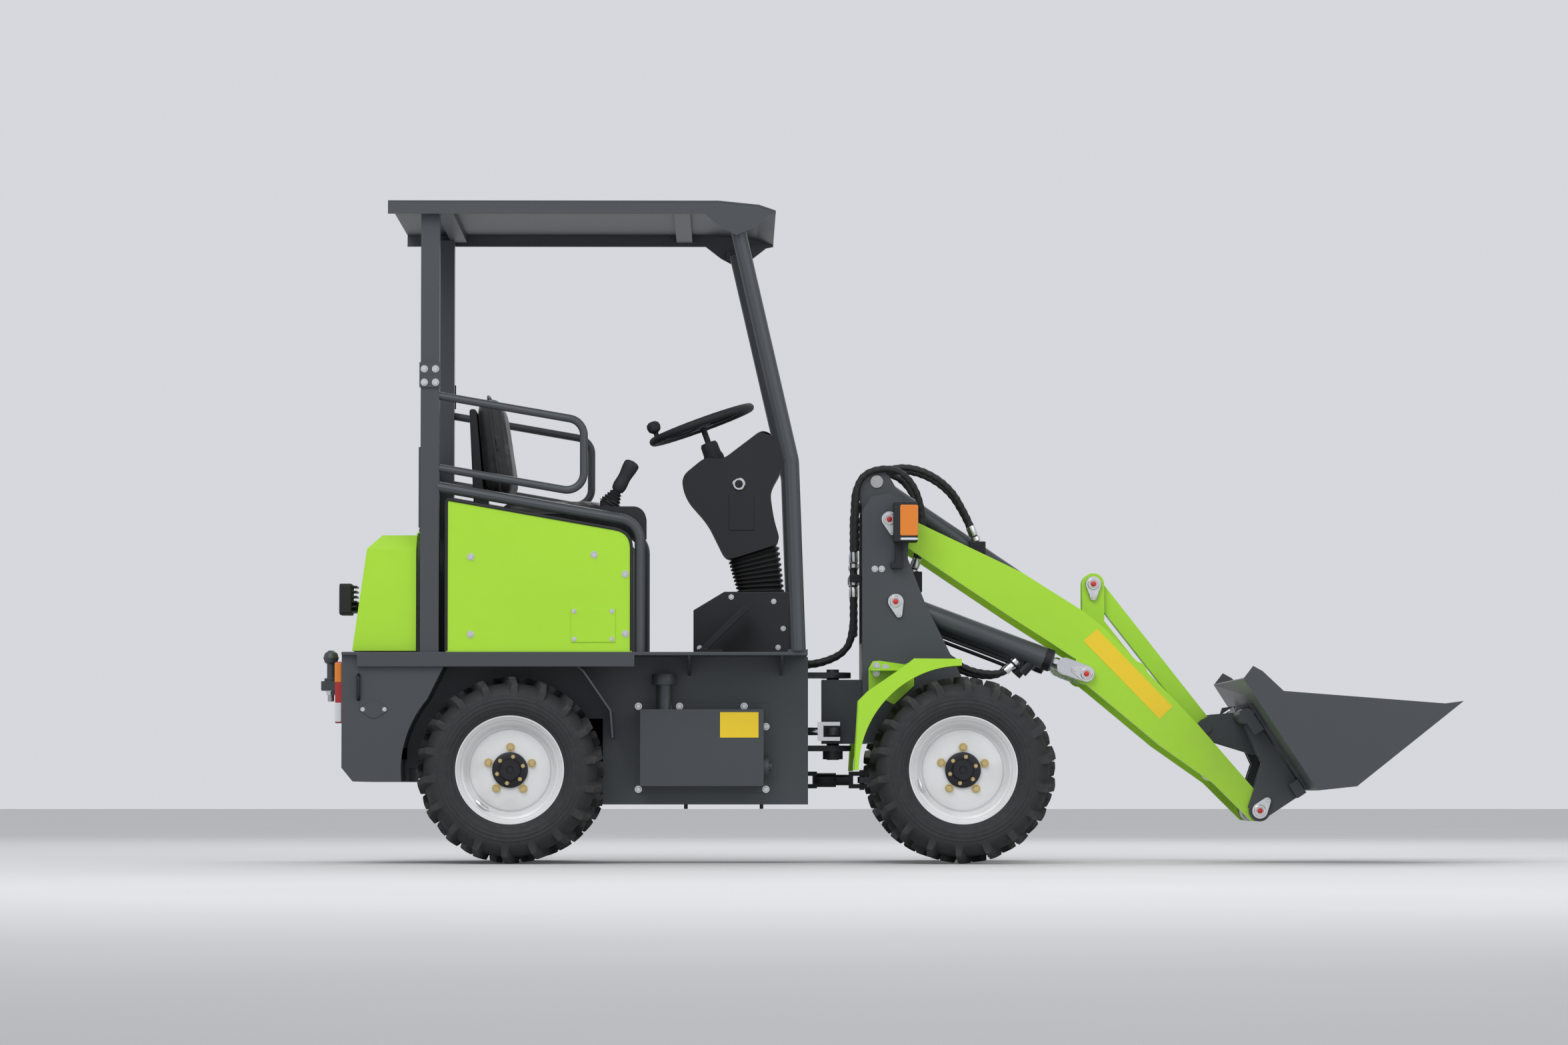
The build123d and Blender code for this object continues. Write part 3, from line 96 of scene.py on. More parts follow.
class Graph:
    """One material's node tree, with short calls for the nodes that the finishes share."""

    def __init__(self, name: str) -> None:
        """Start a material that holds one principled shader."""
        self.material = bpy.data.materials.new(name)
        self.material.use_nodes = True
        self.tree = self.material.node_tree
        self.tree.nodes.clear()
        self.shader = self.add("ShaderNodeBsdfPrincipled")
        out = self.add("ShaderNodeOutputMaterial")
        self.tree.links.new(self.shader.outputs[0], out.inputs["Surface"])
        self.place = self.add("ShaderNodeTexCoord").outputs["Object"]

    def add(self, kind: str, **settings: object) -> bpy.types.Node:
        """Add a node of a kind and set its properties."""
        node = self.tree.nodes.new(kind)
        for key, value in settings.items():
            setattr(node, key, value)
        return node

    def join(self, source: Socket, target: Socket) -> None:
        """Link an output to an input."""
        self.tree.links.new(source, target)

    def set(self, **values: object) -> None:
        """Set constants on the shader's own sockets, with spaces written as underscores."""
        for key, value in values.items():
            self.shader.inputs[key.replace("_", " ")].default_value = value

    def noise(self, scale: float, detail: float = 3.0, stretch: Colour | None = None) -> Socket:
        """Return a noise value in Object coordinates.

        Args:
            scale: Cells per metre.
            detail: Octaves of finer noise.
            stretch: Scale of each axis before the noise, or None.

        Returns:
            The noise's value socket.
        """
        place = self.place if stretch is None else self.mapped(self.place, "Scale", stretch)
        return self.texture("Noise", "Fac", place, {"Scale": scale, "Detail": detail})

    def mapped(self, place: Socket, key: str, value: Colour) -> Socket:
        """Return coordinates after a mapping with one of its inputs set."""
        node = self.add("ShaderNodeMapping")
        node.inputs[key].default_value = value
        self.join(place, node.inputs["Vector"])
        return node.outputs["Vector"]

    def texture(self, kind: str, output: str, place: Socket, values: dict[str, float],
                **settings: object) -> Socket:
        """Add a texture.

        Args:
            kind: The texture's kind.
            output: Name of the output that is wanted.
            place: Its coordinates.
            values: Its inputs' values.
            settings: Its properties.

        Returns:
            The output's socket.
        """
        node = self.add(f"ShaderNodeTex{kind}", **settings)
        for key, value in values.items():
            node.inputs[key].default_value = value
        self.join(place, node.inputs["Vector"])
        return node.outputs[output]

    def height(self, low: float, high: float) -> Socket:
        """Return 1 at or below a height and 0 at or above another, smooth between."""
        split = self.add("ShaderNodeSeparateXYZ")
        self.join(self.place, split.inputs[0])
        return self.spread(split.outputs["Z"], low, high, 1.0, 0.0, "SMOOTHSTEP")

    def attribute(self, name: str) -> Socket:
        """Return a piece's own vertex value."""
        return self.add("ShaderNodeAttribute", attribute_name=name).outputs["Fac"]

    def spread(self, source: Socket, low: float, high: float, to_low: float, to_high: float,
               ease: str = "LINEAR") -> Socket:
        """Map a value's range on to another range, held at its ends."""
        node = self.add("ShaderNodeMapRange", interpolation_type=ease)
        for key, value in zip(("From Min", "From Max", "To Min", "To Max"), (low, high, to_low, to_high)):
            node.inputs[key].default_value = value
        self.join(source, node.inputs["Value"])
        return node.outputs["Result"]

    def times(self, first: Socket, second: Socket) -> Socket:
        """Multiply two values."""
        node = self.add("ShaderNodeMath", operation="MULTIPLY")
        self.join(first, node.inputs[0])
        self.join(second, node.inputs[1])
        return node.outputs[0]

    def mix(self, share: Socket, first: Socket | Colour, second: Socket | Colour) -> Socket:
        """Mix two colours by a share from 0 to 1."""
        node = self.add("ShaderNodeMix", data_type="RGBA")
        self.join(share, node.inputs[0])
        for socket, value in ((node.inputs[6], first), (node.inputs[7], second)):
            if isinstance(value, tuple):
                socket.default_value = (*value, 1.0)
            else:
                self.join(value, socket)
        return node.outputs[2]

    def bump(self, height: Socket, strength: float, distance: float) -> None:
        """Give the shader a bump from a height, in metres of distance."""
        node = self.add("ShaderNodeBump")
        node.inputs["Strength"].default_value = strength
        node.inputs["Distance"].default_value = distance
        if self.shader.inputs["Normal"].is_linked:
            self.join(self.shader.inputs["Normal"].links[0].from_socket, node.inputs["Normal"])
        self.join(height, node.inputs["Height"])
        self.join(node.outputs[0], self.shader.inputs["Normal"])

    def colour(self, source: Socket) -> None:
        """Drive the base colour."""
        self.join(source, self.shader.inputs["Base Color"])

    def rough(self, source: Socket) -> None:
        """Drive the roughness."""
        self.join(source, self.shader.inputs["Roughness"])


@dataclass(frozen=True)
class Finish:
    """A finish with its record slot, colour and roughness range; subclasses add their own detail."""

    name: str
    slot: str
    tint: Colour
    gloss: tuple[float, float] = (0.35, 0.5)

    def tone(self, factor: float) -> Colour:
        """Return the tint made lighter or darker by a factor."""
        return tuple(min(1.0, v * factor) for v in self.tint)

    def shade(self, graph: Graph) -> None:
        """Drive the graph's colour and roughness."""
        graph.colour(graph.mix(graph.noise(3.0, 4.0), self.tone(0.92), self.tone(1.06)))
        graph.rough(graph.spread(graph.noise(14.0), 0.3, 0.7, *self.gloss))

    def material(self) -> bpy.types.Material:
        """Return this finish's material, made once."""
        found = bpy.data.materials.get(self.name)
        if found is not None:
            return found
        graph = Graph(self.name)
        self.shade(graph)
        return graph.material


@dataclass(frozen=True)
class Paint(Finish):
    """Sprayed paint: orange peel, faint cloudiness and a trace of dust low down."""

    dust: Colour = srgb(150, 140, 124)
    dust_share: float = 0.10
    peel: float = 0.10
    coat: float = 0.25

    def shade(self, graph: Graph) -> None:
        """Mix two tints by broad noise, add low dust, and bump the peel."""
        body = graph.mix(graph.noise(2.3, 4.0), self.tone(0.94), self.tone(1.05))
        patch = graph.spread(graph.noise(9.0, 6.0), 0.45, 0.75, 0.0, self.dust_share)
        low = graph.times(graph.height(0.15, 0.75), patch)
        graph.colour(graph.mix(low, body, self.dust))
        graph.rough(graph.spread(graph.noise(22.0), 0.3, 0.7, *self.gloss))
        graph.bump(graph.noise(420.0, 2.0), self.peel, 0.0006)
        graph.set(Coat_Weight=self.coat, Coat_Roughness=0.18)


@dataclass(frozen=True)
class Plate(Finish):
    """Painted tread plate: raised bars in a crossed pattern under satin paint."""

    bars: float = 12.0

    def shade(self, graph: Graph) -> None:
        """Bump two crossed wave sets into raised bars."""
        super().shade(graph)
        waves = []
        for turn in (45.0, -45.0):
            place = graph.mapped(graph.place, "Rotation", (0.0, 0.0, math.radians(turn)))
            waves.append(graph.texture("Wave", "Fac", place, {"Scale": self.bars}, wave_profile="SIN"))
        graph.bump(graph.spread(graph.times(*waves), 0.45, 0.6, 0.0, 1.0), 0.35, 0.002)


@dataclass(frozen=True)
class Plastic(Finish):
    """Moulded plastic with a fine pebbled grain."""

    grain: float = 900.0
    depth: float = 0.18

    def shade(self, graph: Graph) -> None:
        """Bump a voronoi grain over the base tint."""
        super().shade(graph)
        cells = graph.texture("Voronoi", "Distance", graph.place, {"Scale": self.grain})
        graph.bump(cells, self.depth, 0.0004)


@dataclass(frozen=True)
class Tread(Finish):
    """Tyre rubber: matt flanks with fine rings, scuffed lug faces."""

    scuff: Colour = srgb(74, 71, 66)
    ring_pitch: float = 0.0125

    def shade(self, graph: Graph) -> None:
        """Mix scuffed rubber in by the piece's own lug value, and bump rings into the flanks."""
        body = graph.mix(graph.noise(30.0, 5.0), self.tone(0.8), self.tone(1.25))
        worn = graph.spread(graph.noise(45.0, 6.0), 0.35, 0.7, 0.0, 0.55)
        share = graph.times(graph.attribute("lug"), worn)
        graph.colour(graph.mix(share, body, self.scuff))
        graph.rough(graph.spread(graph.noise(60.0), 0.3, 0.7, *self.gloss))
        graph.bump(graph.noise(240.0, 4.0), 0.25, 0.0008)
        radius = graph.attribute("radius")
        wave = graph.add("ShaderNodeMath", operation="SINE")
        graph.join(graph.spread(radius, 0.0, 0.3, 0.0, 0.3 * 2.0 * math.pi / self.ring_pitch), wave.inputs[0])
        flank = graph.spread(radius, 0.228, 0.234, 1.0, 0.0)
        graph.bump(graph.times(wave.outputs[0], flank), 0.5, 0.0012)


@dataclass(frozen=True)
class Metal(Finish):
    """Bare, plated or polished metal with fine turning marks."""

    def shade(self, graph: Graph) -> None:
        """Stretch fine noise into marks on colour and roughness."""
        graph.set(Metallic=1.0)
        marks = graph.noise(160.0, 3.0, (1.0, 0.15, 1.0))
        graph.colour(graph.mix(marks, self.tone(0.85), self.tint))
        graph.rough(graph.spread(marks, 0.3, 0.7, *self.gloss))
        graph.bump(marks, 0.05, 0.0003)


@dataclass(frozen=True)
class Vinyl(Finish):
    """Seat vinyl: leather-like cells and a soft sheen."""

    cells: float = 330.0

    def shade(self, graph: Graph) -> None:
        """Bump voronoi cells and set a sheen."""
        super().shade(graph)
        cells = graph.texture("Voronoi", "Distance", graph.place, {"Scale": self.cells},
                              feature="DISTANCE_TO_EDGE")
        graph.bump(graph.spread(cells, 0.0, 0.12, 0.0, 1.0), 0.3, 0.0007)
        graph.set(Sheen_Weight=0.12)


@dataclass(frozen=True)
class Braid(Finish):
    """Wrapped hose: a spiral guard along the piece's own UV."""

    pitch: float = 55.0
    lean: float = 0.06

    def shade(self, graph: Graph) -> None:
        """Bump a spiral wave that follows the hose's length."""
        super().shade(graph)
        place = graph.mapped(graph.add("ShaderNodeUVMap").outputs[0], "Rotation", (0.0, 0.0, self.lean))
        wave = graph.texture("Wave", "Fac", place, {"Scale": self.pitch}, bands_direction="Y",
                             wave_profile="SIN")
        graph.bump(wave, 0.6, 0.0015)


@dataclass(frozen=True)
class Lens(Finish):
    """Coloured lamp plastic with moulded ribs."""

    ribs: float = 60.0

    def shade(self, graph: Graph) -> None:
        """Bump level ribs, one above the other, and coat the lens."""
        super().shade(graph)
        wave = graph.texture("Wave", "Fac", graph.place, {"Scale": self.ribs}, bands_direction="Z")
        graph.bump(wave, 0.4, 0.001)
        graph.set(Coat_Weight=0.8, Coat_Roughness=0.05)


LIME = Paint("lime_paint", "green_paint", srgb(166, 219, 40), (0.30, 0.42))
GREY = Paint("grey_paint", "grey_paint", srgb(66, 70, 76), (0.36, 0.50))
DECK = Plate("deck_plate", "grey_paint", srgb(62, 66, 71), (0.42, 0.58))
RIM = Paint("rim_paint", "rim", srgb(222, 223, 223), (0.28, 0.40), dust_share=0.22)
BLACK = Plastic("black_plastic", "black_plastic", srgb(30, 31, 33), (0.42, 0.55))
SATIN = Paint("black_paint", "black_paint", srgb(28, 29, 31), (0.35, 0.5))
TYRE = Tread("tyre_rubber", "tyre", srgb(38, 39, 41), (0.65, 0.82))
HOSE = Braid("hose_guard", "rubber", srgb(26, 27, 28), (0.45, 0.6))
RUBBER = Plastic("soft_rubber", "rubber", srgb(26, 27, 28), (0.55, 0.7), grain=500.0)
VINYL = Vinyl("seat_vinyl", "vinyl", srgb(32, 32, 34), (0.42, 0.56))
CHROME = Metal("polished_rod", "chrome", (0.80, 0.81, 0.83), (0.10, 0.20))
ZINC = Metal("white_zinc", "steel", (0.78, 0.79, 0.80), (0.25, 0.38))
BRASSY = Metal("yellow_zinc", "steel", (0.70, 0.55, 0.26), (0.28, 0.40))
STEEL = Metal("bare_steel", "steel", (0.50, 0.50, 0.49), (0.30, 0.45))
RED_CAP = Plastic("red_cap", "red_lens", srgb(208, 44, 38), (0.35, 0.45))
RED_LENS = Lens("red_lens", "red_lens", srgb(190, 24, 22), (0.12, 0.2))
AMBER_LENS = Lens("amber_lens", "amber_lens", srgb(226, 120, 26), (0.12, 0.2))
CLEAR_LENS = Lens("clear_lens", "steel", srgb(214, 218, 220), (0.08, 0.16))
YELLOW_PLATE = Plastic("yellow_plate", "amber_lens", srgb(240, 206, 34), (0.30, 0.40), depth=0.04)


# Surfaces


def mesh_piece(name: str, points: np.ndarray, faces: list[list[int]], smooth: float = 35.0) -> Piece:
    """Make an object from points and faces, shaded smooth below an angle.

    Args:
        name: The piece's name.
        points: Vertices, shape (n, 3), in metres.
        faces: Vertex numbers of each face.
        smooth: Edges sharper than this many degrees stay hard.

    Returns:
        The new object, at the origin.
    """
    mesh = bpy.data.meshes.new(name)
    mesh.from_pydata(points.reshape(-1, 3).tolist(), [], faces)
    mesh.shade_smooth()
    mesh.set_sharp_from_angle(angle=math.radians(smooth))
    mesh.update()
    piece = bpy.data.objects.new(name, mesh)
    bpy.context.collection.objects.link(piece)
    return piece


def mesh_points(mesh: bpy.types.Mesh) -> np.ndarray:
    """Return a mesh's points, shape (n, 3)."""
    place = np.empty(3 * len(mesh.vertices))
    mesh.vertices.foreach_get("co", place)
    return place.reshape(-1, 3)


def grid_faces(rows: int, columns: int, around: bool, along: bool) -> np.ndarray:
    """Return the quads of a grid, closed round its columns and along its rows if asked."""
    index = np.arange(rows * columns).reshape(rows, columns)
    if around:
        index = np.concatenate([index, index[:, :1]], axis=1)
    if along:
        index = np.concatenate([index, index[:1]], axis=0)
    corners = (index[:-1, :-1], index[:-1, 1:], index[1:, 1:], index[1:, :-1])
    return np.stack(corners, axis=-1).reshape(-1, 4)


def skin(name: str, grid: np.ndarray, ends: Ends = Ends.CAPPED, smooth: float = 35.0) -> Piece:
    """Make a piece from a grid of points whose columns close round.

    Args:
        name: The piece's name.
        grid: Points, shape (rows, columns, 3).
        ends: Whether the first and last rows are open, capped or joined.
        smooth: Edges sharper than this many degrees stay hard.

    Returns:
        The new object.
    """
    rows, columns = grid.shape[:2]
    faces = grid_faces(rows, columns, True, ends is Ends.RING).tolist()
    if ends is Ends.CAPPED:
        faces.append(list(range(columns))[::-1])
        faces.append(list(range((rows - 1) * columns, rows * columns)))
    return mesh_piece(name, grid, faces, smooth)


def basis(axis: np.ndarray) -> np.ndarray:
    """Return a 3x3 matrix whose columns are two cross directions and the axis."""
    axis = np.asarray(axis, float) / np.linalg.norm(axis)
    side = np.cross([0.0, 1.0, 0.0] if abs(axis[1]) < 0.9 else [1.0, 0.0, 0.0], axis)
    side /= np.linalg.norm(side)
    return np.stack([side, np.cross(axis, side), axis], axis=1)


def turned(name: str, profile: Rows, origin: Point, axis: Point, sides: int = 48,
           ends: Ends = Ends.CAPPED, smooth: float = 35.0) -> Piece:
    """Turn a profile about an axis.

    The point at profile row (r, h) and turn t is origin + r cos t * u + r sin t * v + h * axis.

    Args:
        name: The piece's name.
        profile: Rows of radius and height, in metres.
        origin: Point on the axis.
        axis: Direction of the axis.
        sides: Steps round.
        ends: How the profile's ends are finished.
        smooth: Edges sharper than this many degrees stay hard.

    Returns:
        The new object.
    """
    turn = np.linspace(0.0, 2.0 * np.pi, sides, endpoint=False)
    profile = np.asarray(profile, float)
    local = np.stack(
        np.broadcast_arrays(profile[:, :1] * np.cos(turn), profile[:, :1] * np.sin(turn), profile[:, 1:]),
        axis=-1,
    )
    return skin(name, local @ basis(axis).T + np.asarray(origin), ends, smooth)


def lathe(name: str, profile: Rows, origin: Point, axis: Point, finish: Finish, body: str,
          sides: int = 48, smooth: float = 35.0) -> Piece:
    """Turn a capped profile about an axis and finish it; the arguments are those of the two calls."""
    return finish_piece(turned(name, profile, origin, axis, sides, smooth=smooth), finish, body)


def stamped(name: str, shape: tuple[np.ndarray, list], places: np.ndarray, axes: np.ndarray) -> Piece:
    """Repeat one small shape at many places as one mesh.

    Each copy's points are place + shape @ basis(axis)^T, worked out for all copies at once.

    Args:
        name: The piece's name.
        shape: Points and faces of one copy, its own axis along +Z.
        places: One point per copy, shape (n, 3).
        axes: One direction per copy, shape (n, 3).

    Returns:
        The joined object.
    """
    points, faces = shape
    frames = np.stack([basis(a) for a in axes])
    spread = np.einsum("nij,vj->nvi", frames, points) + np.asarray(places)[:, None, :]
    count = len(points)
    joined = [[v + n * count for v in f] for n in range(len(places)) for f in faces]
    return mesh_piece(name, spread, joined, 30.0)


def head_shape(radius: float, height: float, washer: float) -> tuple[np.ndarray, list]:
    """Return a six-sided bolt head on a round washer: rings of radius at steps of height.

    On the upper rings the radius at a turn is the radius times cos 30 degrees over the cosine
    of the turn from the middle of its flat.
    """
    rings = np.array([
        (washer, -0.0005), (washer, height * 0.22), (radius * 1.02, height * 0.22),
        (radius, height * 0.85), (radius * 0.86, height),
    ])
    columns, half = 12, np.pi / 6
    turn = np.linspace(0.0, 2.0 * np.pi, columns, endpoint=False)
    flat = np.cos(half) / np.cos((turn + half) % (2 * half) - half)
    shrink = np.where(np.arange(5)[:, None] < 2, 1.0, flat[None, :])
    grid = np.stack(np.broadcast_arrays(
        rings[:, :1] * shrink * np.cos(turn), rings[:, :1] * shrink * np.sin(turn), rings[:, 1:]), axis=-1)
    faces = grid_faces(5, columns, True, False).tolist()
    faces.append(list(range(4 * columns, 5 * columns)))
    return grid.reshape(-1, 3), faces


def smooth_path(points: np.ndarray, steps: int) -> np.ndarray:
    """Return a clamped cubic B-spline that has a route's points as its control points.

    The blend of four neighbouring points is the uniform cubic basis, with the end points tripled.

    Args:
        points: Control points, shape (n, 3).
        steps: Points per span.

    Returns:
        The path's points.
    """
    control = np.concatenate([points[:1], points[:1], points, points[-1:], points[-1:]])
    t = np.linspace(0.0, 1.0, steps, endpoint=False)[:, None]
    weights = np.concatenate(
        [(1 - t) ** 3, 3 * t**3 - 6 * t**2 + 4, -3 * t**3 + 3 * t**2 + 3 * t + 1, t**3], axis=1) / 6.0
    windows = np.lib.stride_tricks.sliding_window_view(control, 4, axis=0)
    path = np.einsum("sk,nck->nsc", weights, windows).reshape(-1, 3)
    return np.concatenate([path, points[-1:]])


def lengths(path: np.ndarray) -> np.ndarray:
    """Return the length along a path at each of its points."""
    return np.concatenate([[0.0], np.cumsum(np.linalg.norm(np.diff(path, axis=0), axis=1))])


def carried(name: str, path: np.ndarray, radius: np.ndarray | float, sides: int = 14) -> Piece:
    """Carry a circle along a path and give it a UV map in metres along and turns round.

    Each ring lies across the path's tangent; its first direction is carried from a fixed side
    direction, which suits routes that keep away from it.

    Args:
        name: The piece's name.
        path: Points of the middle line, shape (n, 3).
        radius: One radius, or one for each point.
        sides: Points round.

    Returns:
        The new object.
    """
    tangent = np.gradient(path, axis=0)
    tangent /= np.linalg.norm(tangent, axis=1, keepdims=True)
    guide = np.array([0.13, 0.97, 0.21])
    side = np.cross(tangent, guide)
    side /= np.linalg.norm(side, axis=1, keepdims=True)
    other = np.cross(tangent, side)
    turn = np.linspace(0.0, 2.0 * np.pi, sides, endpoint=False)
    radius = np.broadcast_to(radius, len(path))[:, None, None]
    ring = side[:, None, :] * np.cos(turn)[None, :, None] + other[:, None, :] * np.sin(turn)[None, :, None]
    piece = skin(name, path[:, None, :] + radius * ring, Ends.CAPPED)
    length = lengths(path)
    mesh = piece.data
    vertex = np.empty(len(mesh.loops), dtype=np.int64)
    mesh.loops.foreach_get("vertex_index", vertex)
    uv = np.stack([(vertex % sides) / sides, length[vertex // sides]], axis=1)
    mesh.uv_layers.new(name="UVMap").data.foreach_set("uv", uv.ravel().astype(np.float32))
    return piece


def route(points: list[tuple], radius: float | tuple, steps: int = 8) -> np.ndarray:
    """Return a route of straight runs whose corners are rounded.

    Each corner P becomes the quadratic curve (1-t)^2 A + 2t(1-t) P + t^2 B between the points A and B
    that lie a radius before and after it.

    Args:
        points: The route's corners.
        radius: Distance from a corner at which it starts to bend, one for all or one for each.
        steps: Points on each bend.

    Returns:
        The route's points.
    """
    corner = np.asarray(points, float)
    radius = np.broadcast_to(radius, len(corner) - 2)[:, None]
    run = np.diff(corner, axis=0)
    run /= np.linalg.norm(run, axis=1, keepdims=True)
    t = np.linspace(0.0, 1.0, steps)[None, :, None]
    before, middle, after = (corner[1:-1] - radius * run[:-1], corner[1:-1], corner[1:-1] + radius * run[1:])
    bends = (1 - t) ** 2 * before[:, None] + 2 * t * (1 - t) * middle[:, None] + t**2 * after[:, None]
    return np.concatenate([corner[:1], bends.reshape(-1, 3), corner[-1:]])


def evenly(path: np.ndarray, step: float) -> np.ndarray:
    """Return points at even steps of length along a path."""
    length = lengths(path)
    place = np.linspace(0.0, length[-1], max(2, int(round(length[-1] / step)) + 1))
    return np.stack([np.interp(place, length, path[:, k]) for k in range(3)], axis=1)


def hull_shape(circles: list[tuple[float, float, float]], thick: float) -> tuple[np.ndarray, list]:
    """Return a plate whose outline is the hull of some circles, with a chamfered top.

    In direction n the outline is the support point, centre + radius * n, of the circle that reaches
    furthest.

    Args:
        circles: Each circle's two coordinates across the plate, and its radius.
        thick: Thickness along +Z.

    Returns:
        Points and faces.
    """
    count, chamfer = 48, 0.001
    turn = np.linspace(0.0, 2.0 * np.pi, count, endpoint=False)
    n = np.stack([np.cos(turn), np.sin(turn)], axis=1)
    centre, radius = np.array(circles)[:, :2], np.array(circles)[:, 2]
    far = np.argmax(n @ centre.T + radius, axis=1)
    rows = []
    for inset, height in ((0.0, -chamfer), (0.0, thick - chamfer), (chamfer, thick)):
        flat = centre[far] + (radius[far] - inset)[:, None] * n
        rows.append(np.column_stack([flat, np.full(count, height)]))
    faces = grid_faces(3, count, True, False).tolist() + [list(range(2 * count, 3 * count))]
    return np.concatenate(rows), faces


def bevel(piece: Piece, width: float, segments: int = 2, angle: float | None = None,
          harden: bool = True) -> None:
    """Bevel a piece's edges.

    Args:
        piece: The object.
        width: Width of the bevel.
        segments: Steps across it.
        angle: Edges sharper than this many degrees are bevelled; Blender's own limit if None.
        harden: Whether the faces beside a bevel stay flat in shading.
    """
    edge = piece.modifiers.new("edge", "BEVEL")
    edge.width = width
    edge.segments = segments
    edge.harden_normals = harden
    if angle is not None:
        edge.limit_method = "ANGLE"
        edge.angle_limit = math.radians(angle)


def block(name: str, low: tuple, high: tuple, edge: float = 0.002) -> Piece:
    """Make a box between two corners with narrow bevelled edges."""
    low, high = np.asarray(low, float), np.asarray(high, float)
    bits = np.array([[(k >> 2) & 1, (k >> 1) & 1, k & 1] for k in range(8)], float)
    faces = [[0, 1, 3, 2], [4, 6, 7, 5], [0, 4, 5, 1], [2, 3, 7, 6], [0, 2, 6, 4], [1, 5, 7, 3]]
    piece = mesh_piece(name, low + bits * (high - low), faces)
    bevel(piece, edge)
    return piece


def hose_line(points: np.ndarray) -> np.ndarray:
    """Return the points of a smooth spline that has a hose's route as its control points.

    Args:
        points: The route's points, shape (n, 3).

    Returns:
        Points read from the spline, close together.
    """
    data = bpy.data.curves.new("line", "CURVE")
    data.dimensions = "3D"
    data.resolution_u = 24
    spline = data.splines.new("NURBS")
    spline.points.add(len(points) - 1)
    spline.points.foreach_set("co", np.column_stack([points, np.ones(len(points))]).ravel())
    spline.order_u = 3
    spline.use_endpoint_u = True
    holder = bpy.data.objects.new("line", data)
    mesh = bpy.data.meshes.new_from_object(holder)
    place = mesh_points(mesh)
    bpy.data.objects.remove(holder)
    bpy.data.curves.remove(data)
    bpy.data.meshes.remove(mesh)
    return place


def finish_piece(piece: Piece, finish: Finish, body: str) -> Piece:
    """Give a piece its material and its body.

    Args:
        piece: The new object.
        finish: Its finish.
        body: The body it rides on.

    Returns:
        The same object.
    """
    piece.data.materials.clear()
    piece.data.materials.append(finish.material())
    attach(piece, body)
    LOG.info("piece %s on %s", piece.name, body)
    return piece


# Sub-assemblies


@dataclass
class Solids:
    """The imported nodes: a finish for each, and a softened edge."""

    finishes: tuple[Finish, ...] = (
        LIME, GREY, BLACK, SATIN, TYRE, RIM, CHROME, STEEL, VINYL, RUBBER, RED_LENS, AMBER_LENS)
    own: dict[str, Finish] = field(default_factory=lambda: {"deck": DECK, "indicator_lamps": BLACK})
    edge: float = 0.0015
    sharp: float = 32.0
    edges: dict[str, float] = field(default_factory=lambda: {
        "steering_console": 0.012, "seat_platform": 0.010, "control_pod": 0.008, "rear_hood": 0.006,
        "hydraulic_tank": 0.004, "pedal_box": 0.004, "seat_base": 0.008, "boom": 0.0025,
        "indicator_lamps": 0.006, "tail_lamps": 0.005, "work_lamp": 0.008,
    })
    plain: tuple[str, ...] = ("steering_wheel", "rear_axle", "front_axle", "drive_motor", "battery_pack")

    def dress(self) -> None:
        """Give every node its material and, unless it is plain, a narrow bevel."""
        slots = {row["node"]: row["material_slot"] for row in frame["record"]["subparts"]}
        usual = {finish.slot: finish for finish in self.finishes}
        for name, node in frame["nodes"].items():
            finish = self.own.get(name, usual[slots[name]])
            node.data.materials.clear()
            node.data.materials.append(finish.material())
            if name in self.plain:
                continue
            weld = node.modifiers.new("weld", "WELD")
            weld.merge_threshold = 1e-5
            bevel(node, self.edges.get(name, self.edge), angle=self.sharp)


